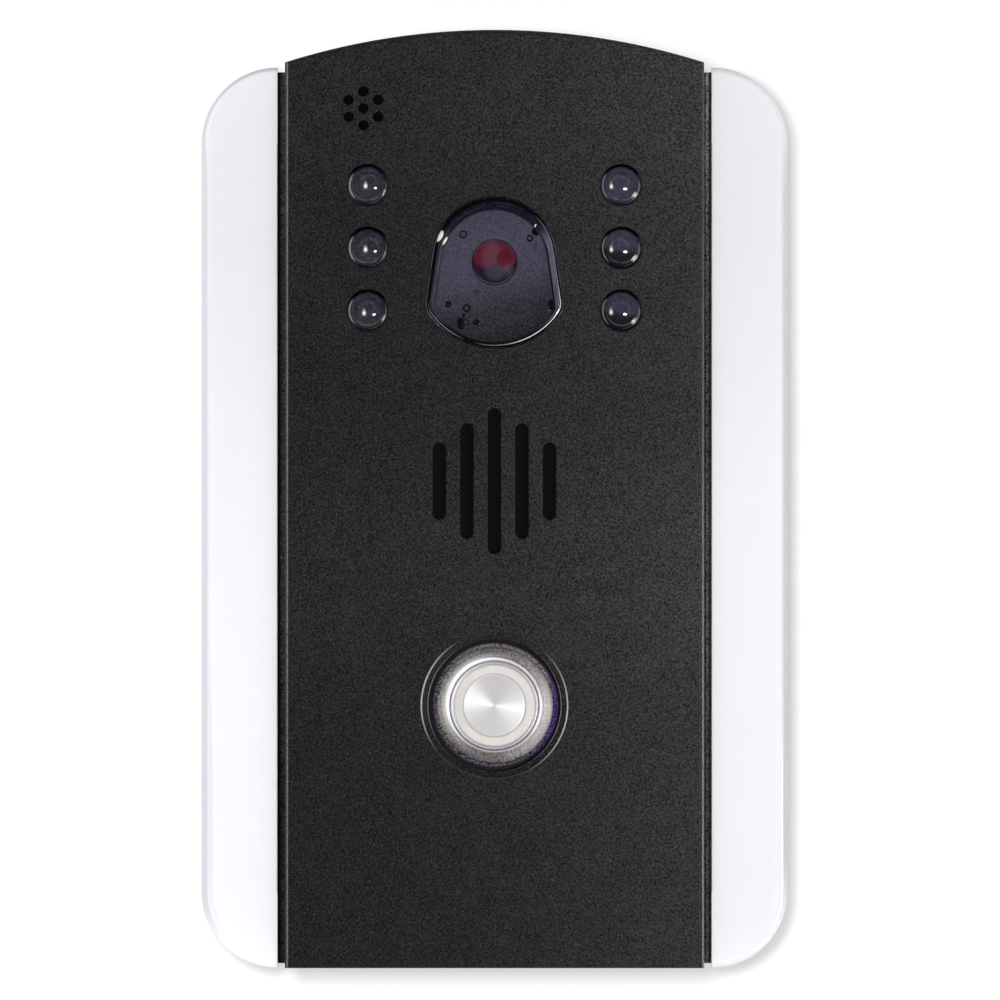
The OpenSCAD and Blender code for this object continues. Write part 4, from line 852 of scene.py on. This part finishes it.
# bezel: polished bead with painted highlights, then a blasted flange with warm and violet grains and painted
# shade, darker above and below
def bezelSteel():
    paint = Paint("bezelSteel")
    angle, away = buttonPolar(paint)
    spot = paint.place()
    grain = paint.noise(spot, 2.7, 3.0, 0.8)
    tint = paint.noise(spot, 0.9)
    pale, deep, level = [paint.turnRamp(angle, button["flange"], gain) for gain in (1.5, 0.5, 1)]
    ground = paint.mix(grain.step(0.38, 0.60), pale, deep)
    calm = angle.near(-8, 50, 25)
    ground = paint.mix(calm * 0.6, ground, level)
    ground = paint.mix(away.step(9.3, 10.9), paint.times(ground, (1.12,) * 3),
                       paint.times(ground, (0.80,) * 3))
    hue = paint.mix(tint.step(0.35, 0.65), (1.13, 1.02, 0.94), (1.05, 0.97, 1.03))
    ground = paint.times(ground, hue)
    inside = away.fall(9.0, 10.3) * angle.near(155, 60, 35)  # painted light: pale where the flange meets the bead, to the upper left
    ground = paint.mix(inside * 0.6, ground, (0.78, 0.77, 0.77))
    # painted shade over a ragged outer edge, with violet specks in it, narrower and smoother on the right and
    # at the top
    whole = angle.near(-2, 50, 16).larger(angle.near(90, 50, 25))
    ragged = (away + (grain - 0.5) * (2.4 - whole * 1.4)).step(whole * 0.5 + 10.6, whole * 0.4 + 11.0)
    violetSpecks = paint.noise(spot, 2.2, 2.0, 0.7).step(0.50, 0.62)
    violetSpecks = violetSpecks * (1 - angle.near(60, 70, 20))
    ground = paint.mix(ragged, ground, paint.mix(violetSpecks, (0.005, 0.004, 0.007), (0.075, 0.060, 0.115)))
    # painted highlight on the polished bead: wider to the upper left, narrower low down
    low = angle.near(-110, 60, 30)
    wide = angle.near(150, 50, 35) * 0.35 - low * 0.15 - 0.12
    bead = (away - wide).fall(8.95, 9.2)  # 1 on the polished bead
    # painted highlights to the upper left and right, and painted shade low down
    glint = angle.near(155, 60, 35).larger(angle.near(-8, 22, 14))
    shine = paint.mix(glint, paint.mix(low, (0.62, 0.61, 0.63), (0.42, 0.40, 0.42)), (0.93, 0.93, 0.94))
    tone = paint.mix(bead, ground, shine)
    # painted shadow in the mouth of the bore
    mouth = away.fall(8.43, 8.47)
    tone = paint.mix(mouth, tone, (0.26, 0.23, 0.29))
    return paint.surface(tone, Metallic=0.1, Roughness=0.6 - bead * 0.3, Specular_IOR_Level=0.3,
                         Normal=paint.bump(grain * (1 - bead), 0.4, 0.05))


# lit ring: milky plastic, cooler on the left, with a fine joint round the disc's seat
def creamPlastic():
    paint = Paint("lightRing")
    angle, away = buttonPolar(paint)
    cloud = paint.noise(paint.place(), 0.8, 3.0)
    tone = paint.mix(cloud, (0.54, 0.515, 0.497), (0.69, 0.655, 0.622))
    tone = paint.layers(
        tone, (angle.near(180, 36, 24) * 0.3, (0.46, 0.45, 0.50)),
        (away.band(7.48, 7.58, 0.04) * 0.5, (0.25, 0.22, 0.24)))
    return paint.surface(tone, Roughness=0.45, Specular_IOR_Level=0.25)


# rim of the cap: pale top with painted highlights, and a chamfer in painted shade that falls away into the dark
# joint round the cap
def rimSteel():
    paint = Paint("rimSteel")
    angle, away = buttonPolar(paint)
    fine = paint.noise(paint.place(), 2.5)
    ends = angle.near(178, 40, 20) + angle.near(-15, 30, 15)  # the left and right of the ring
    # painted highlights on the top, to the left and right
    shine = angle.near(172, 50, 34) + angle.near(-2, 42, 30) * 0.8
    tone = paint.mix(shine.smaller(1), (0.50, 0.49, 0.50), (0.92, 0.91, 0.92))
    tone = paint.mix(fine * 0.25, tone, (0.55, 0.53, 0.56))
    # painted shade on the chamfer, violet at the left and right and paler at the top
    chamferShade = paint.mix(ends, (0.24, 0.22, 0.25), (0.22, 0.18, 0.34))
    chamferShade = paint.layers(
        chamferShade, (angle.near(90, 50, 30), (0.40, 0.39, 0.40)), (fine.step(0.50, 0.62) * 0.5, (0.60, 0.58, 0.61)))
    tone = paint.layers(tone, (away.step(8.19, 8.25), chamferShade), (away.fall(7.66, 7.74), (0.34, 0.32, 0.34)))
    return paint.surface(tone, Metallic=0.3, Roughness=0.3)


# piece turned about the button's axis from corners of (radius, level, rounding)
def turnPiece(name, node, body, material, corners):
    part = Part(name)
    part.turned(button["centre"], rounded(corners, closed=True), steps=128)
    part.finish(body, material, ["button_" + node])


# bezel, cap rim, lit ring and disc, each an outline of corners round the same axis
def makeButton():
    r, bore, neck = bezel["right"], bezel["bore"], bezel["bushing"]
    front, foot = bezel["front"], bezel["back"]
    back, ledge, inner = front - bezel["thickness"], foot + 12, neck - bezel["wall"]
    turnPiece("buttonBezel", "bezel", "station", bezelSteel(), [
        (bore, ledge), (bore, front, 0.12), (bore + 0.6, front, 0.25), (bore + 0.85, front - 0.25, 0.15),
        (r - 0.3, front - 0.6, 0.3), (r, front - 0.95, 0.2), (r, back, 0.1), (neck, back),
        (neck, foot), (inner, foot), (inner, ledge)])
    inner, front, back = ring["right"] + 0.03, rim["front"], rim["back"]
    turnPiece("capRim", "rim", "push_button", rimSteel(), [
        (inner, back), (rim["right"], back), (rim["right"], front - 0.4, 0.1), (8.1, front, 0.06),
        (inner, front, 0.1)])
    r, hole, front, web = ring["right"], disc["right"] + 0.05, ring["front"], disc["back"]
    turnPiece("lightRing", "light_ring", "push_button", creamPlastic(), [
        (0, back), (r, back), (r, front - 0.1, 0.2), (r - 0.5, front + 0.02, 0.3), (hole + 0.3, front, 0.2),
        (hole, front - 0.12), (hole, web), (0, web)])
    r, front = disc["right"], disc["front"]
    turnPiece("spunDisc", "disc", "push_button", spunSteel(), [
        (0, web), (r, web), (r, front - 0.1, 0.06), (r - 0.3, front, 0.2), (0, front)])


makeButton()
print("button made")


# colour, roughness and how metallic; then the grain's scale, the drift of the colour and the bump
plain = {
    "foam_black": ((0.02, 0.02, 0.021), 0.9, 0.0, 0.6, 0.6, 0.12),
    "rubber_black": ((0.010, 0.010, 0.010), 0.55), "seal_grey": ((0.05, 0.05, 0.055), 0.6),
    "screw_steel": ((0.62, 0.62, 0.63), 0.3, 1.0),
    "plated_steel": ((0.55, 0.56, 0.57), 0.35, 1.0), "barrel_black": ((0.01, 0.01, 0.01), 0.5),
    "board_green": ((0.012, 0.10, 0.042), 0.35), "sensor_glass": ((0.06, 0.10, 0.13), 0.1),
    "tinned": ((0.7, 0.7, 0.68), 0.25, 1.0), "can_aluminium": ((0.7, 0.7, 0.71), 0.35, 1.0),
    "mesh_cloth": ((0.004, 0.004, 0.004), 0.9), "basket_steel": ((0.5, 0.5, 0.52), 0.3, 1.0),
    "cone_film": ((0.02, 0.02, 0.022), 0.4), "magnet_dark": ((0.12, 0.12, 0.13), 0.5, 0.6),
    "plunger_black": ((0.012, 0.012, 0.013), 0.45), "contact_brass": ((0.72, 0.52, 0.22), 0.3, 1.0),
    "spring_steel": ((0.5, 0.5, 0.52), 0.25, 1.0), "lamp_board": ((0.8, 0.8, 0.76), 0.4),
    "relay_blue": ((0.02, 0.05, 0.3), 0.35), "terminal_green": ((0.01, 0.25, 0.08), 0.45),
    "capacitor_sleeve": ((0.02, 0.03, 0.12), 0.3), "header_cream": ((0.75, 0.7, 0.58), 0.45),
    "ribbon_white": ((0.7, 0.7, 0.74), 0.35), "lead_red": ((0.5, 0.02, 0.02), 0.4),
    "lead_grey": ((0.6, 0.6, 0.6), 0.4), "lead_dark": ((0.05, 0.05, 0.08), 0.4),
}


# electret capsule: aluminium can with black felt over its face
def capsuleFinish():
    paint = Paint("capsule")
    spot = paint.place()
    face = extent("mic_capsule")["front"]
    felt = (paint.axes(spot)[1] * -1).step(face - 0.3, face - 0.1)
    fine = paint.noise(spot, 5.0, 3.0)
    tone = paint.mix(felt, paint.mix(fine, (0.62, 0.62, 0.63), (0.74, 0.74, 0.75)),
                     paint.mix(fine, (0.002, 0.002, 0.002), (0.004, 0.004, 0.004)))
    return paint.surface(tone, Metallic=1 - felt, Roughness=felt * 0.6 + 0.35, Specular_IOR_Level=0.05)


# carrier plate: black paint with a painted violet sheen beside the button's hole
def carrierFinish():
    paint = Paint("carrierPaint")
    angle, away = buttonPolar(paint)
    grain = paint.noise(paint.place(), 2.3, 2.0, 0.8)
    near = away.fall(13.0, 13.4)  # close to the hole
    violet = angle.near(-5, 38, 20) * 0.8 + angle.near(-85, 50, 26) * 0.10
    violet = angle.near(190, 55, 30) * 0.05 + violet
    violet = violet * grain.step(0.46, 0.54) * (away + (grain - 0.5) * 2.4).fall(11.9, 12.3)
    tone = paint.mix(grain, (0.002, 0.002, 0.003), (0.008, 0.007, 0.010))
    tone = paint.mix(near * violet, tone, (0.092, 0.040, 0.225))
    # a painted sheen as a pale arc above the hole, and a grey painted sheen in grains round the rest of it
    sheen = angle.near(72, 50, 24) * (away + (grain - 0.5) * 1.6).fall(11.45, 11.8)
    tone = paint.mix(sheen * grain.step(0.35, 0.65), tone, (0.32, 0.29, 0.28))
    rest = (1 - angle.near(10, 44, 20)) * (away + (grain - 0.5) * 1.8).fall(11.3, 11.9)
    tone = paint.mix(rest * grain.step(0.44, 0.58), tone, (0.15, 0.14, 0.16))
    return paint.surface(tone, Roughness=0.5, Specular_IOR_Level=0.15)


spring = {"radius": 4.3, "wire": 0.35, "turns": 4, "travel": 2.0}


# return spring: a round wire along a helix from the ledge to the cap:
# point = centre + (radius + wire cos b)(cos a, sin a) at level + wire sin b
def makeSpring():
    ends, wire = extent("return_spring"), spring["wire"]
    low, high = ends["back"] + wire, ends["front"] - wire
    a = np.linspace(0, 2 * np.pi * spring["turns"], 28 * spring["turns"] + 1)[:, None]
    b = np.radians(np.arange(0, 360, 30))[None]
    out = spring["radius"] + wire * np.cos(b)
    level = low + (high - low) * a / a.max() + wire * np.sin(b)
    points = place(np.stack([out * np.cos(a), out * np.sin(a)], -1) + np.array(button["centre"]), level)
    part = Part("coilSpring")
    part.grid(points)
    part.fills += [[points[0]], [points[-1]]]
    steel = plainFinish("coilSteel", *plain["spring_steel"])
    coil = part.finish("station", steel, ["return_spring"])
    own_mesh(coil)


makeSpring()
print("spring made")


special = {"mic_capsule": capsuleFinish, "carrier_black": carrierFinish,
           "housing_black": lambda: powderCoat("housingCoat", 1.3, True)}


# each solid that is still shown takes the finish of its slot, or one of its own
def dressNodes():
    finishes = {}
    for subpart in frame["record"]["subparts"]:
        node, thing = subpart["node"], frame["nodes"][subpart["node"]]
        key = node if node in special else subpart["material_slot"]
        if thing.hide_render:
            continue
        if key not in finishes:
            finishes[key] = special[key]() if key in special else plainFinish(key, *plain[key])
        thing.data.materials.clear()
        thing.data.materials.append(finishes[key])


dressNodes()
print("nodes dressed")


# metres; seen is the width that the camera's view takes in, right and down move it
stage = {"wallGap": 0.030, "wallReach": 0.4, "floor": -0.42, "floorReach": (4, 5),
         "flagWide": 2.4, "flagHigh": 1.2, "flagAway": 0.8, "flagNear": 0.1,
         "camera": 3.04, "sensor": 36, "seen": 0.18836, "right": 0.00104, "down": 0.00019}


# flat piece of the studio through its corners
def makePlane(name, corners, material, faces=((0, 1, 2, 3),)):
    mesh = bpy.data.meshes.new(name)
    mesh.from_pydata(corners, [], faces)
    mesh.materials.append(material)
    thing = addObject(name, mesh)
    return thing


# pale surface that keeps shadows, white to the camera, and see-through from behind and edge on
def stageFinish(name, tone, glow):
    paint = Paint(name)
    matt = paint.node("BsdfDiffuse", sockets={"Color": (tone,) * 3})
    shine = paint.node("Emission", sockets={"Color": (1.0, 1.0, 1.0), "Strength": glow})
    both = paint.node("AddShader", sockets={0: matt, 1: shine})
    front = paint.node("MixShader", sockets={0: paint.seen(), 1: matt, 2: both})
    behind = paint.node("NewGeometry", out="Backfacing")
    slant = paint.node("LayerWeight", sockets={"Blend": 0.5}, out="Facing").step(0.72, 0.84)
    hollow = paint.node("BsdfTransparent")
    return paint.use(paint.node("MixShader", sockets={0: behind.larger(slant), 1: front, 2: hollow}))


# the wall lets light through to the part's back, and keeps the shadow that falls on it
def makeStage():
    gap, floor, side = stage["wallGap"], stage["floor"], stage["wallReach"]
    corners = [(-side, gap, floor), (side, gap, floor), (side, gap, side), (-side, gap, side)]
    wall = makePlane("wallSheet", corners, stageFinish("wallPaper", 0.56, 0.465))
    wall.visible_shadow = wall.visible_diffuse = False
    side, near = stage["floorReach"]
    corners = [(-side, -near, floor), (side, -near, floor), (side, side, floor), (-side, side, floor)]
    makePlane("floorSheet", corners, stageFinish("floorPaper", 0.80, 0.6))


# open box of black cloth in front of the part, met by reflections alone, as in a studio
def makeFlag():
    paint = Paint("flagCloth")
    cloud = paint.noise(paint.place(), 0.01)
    black = paint.mix(cloud, (0.002,) * 3, (0.006,) * 3)
    cloth = paint.use(paint.node("BsdfDiffuse", sockets={"Color": black}))
    half, low = stage["flagWide"] / 2, stage["floor"] + 0.02
    corners = [(x, -y, z) for y in (stage["flagAway"], stage["flagNear"]) for z in (low, stage["flagHigh"])
               for x in (-half, half)]
    flag = makePlane("blackFlag", corners, cloth,
                     [(0, 1, 3, 2), (0, 4, 5, 1), (2, 3, 7, 6), (0, 2, 6, 4), (1, 5, 7, 3)])
    for ray in ("camera", "diffuse", "transmission", "volume_scatter", "shadow"):
        setattr(flag, "visible_" + ray, False)


# area light that looks at the origin; a card for reflections alone is round
def makeLight(name, spot, size, power, colour=(1, 1, 1), card=False):
    light = bpy.data.lights.new(name, "AREA")
    light.shape, light.size, light.size_y = "ELLIPSE" if card else "RECTANGLE", *size
    light.energy, light.color = power, colour
    thing = addObject(name, light)
    thing.location = spot
    thing.rotation_euler = (-Vector(spot)).to_track_quat("-Z", "Y").to_euler()
    thing.visible_camera, thing.visible_diffuse, thing.visible_glossy = False, not card, card


# soft light from the front, the back and both sides, one card, and a dim world that the camera sees as white
def makeLights():
    makeLight("softFront", (-0.082, -2.3, 0.061), (0.15, 0.15), 42)
    makeLight("softBack", (0.25, 2.2, 0.3), (0.8, 0.8), 31)
    for name, x in (("softLeft", -1.5), ("softRight", 1.5)):
        makeLight(name, (x, 0.1, 0.1), (0.3, 0.5), 9)
    makeLight("rightCard", (0.29, -0.49, -0.11), (0.17, 0.10), 2.3, (0.97, 0.98, 1.0), card=True)
    paint = Paint("studio", "World")
    soft = paint.node("Background", sockets={"Color": (0.98, 0.99, 1.0), "Strength": 0.24})
    white = paint.node("Background", sockets={"Color": (1.0, 1.0, 1.0)})
    bpy.context.scene.world = paint.use(paint.node("MixShader", sockets={0: paint.seen(), 1: soft, 2: white}))


# camera square to the front: focal length = sensor * distance / width seen
def makeCamera():
    view = bpy.data.cameras.new("camera")
    view.sensor_width, view.clip_end = stage["sensor"], 100
    view.lens = stage["sensor"] * stage["camera"] / stage["seen"]
    thing = bpy.context.scene.camera = addObject("camera", view)
    thing.location = (stage["right"], -cover["front"] * mm - stage["camera"], -stage["down"])
    thing.rotation_euler = (np.pi / 2, 0, 0)


makeStage()
makeFlag()
makeLights()
makeCamera()
bpy.context.scene.view_settings.view_transform = "Standard"
print("stage made")
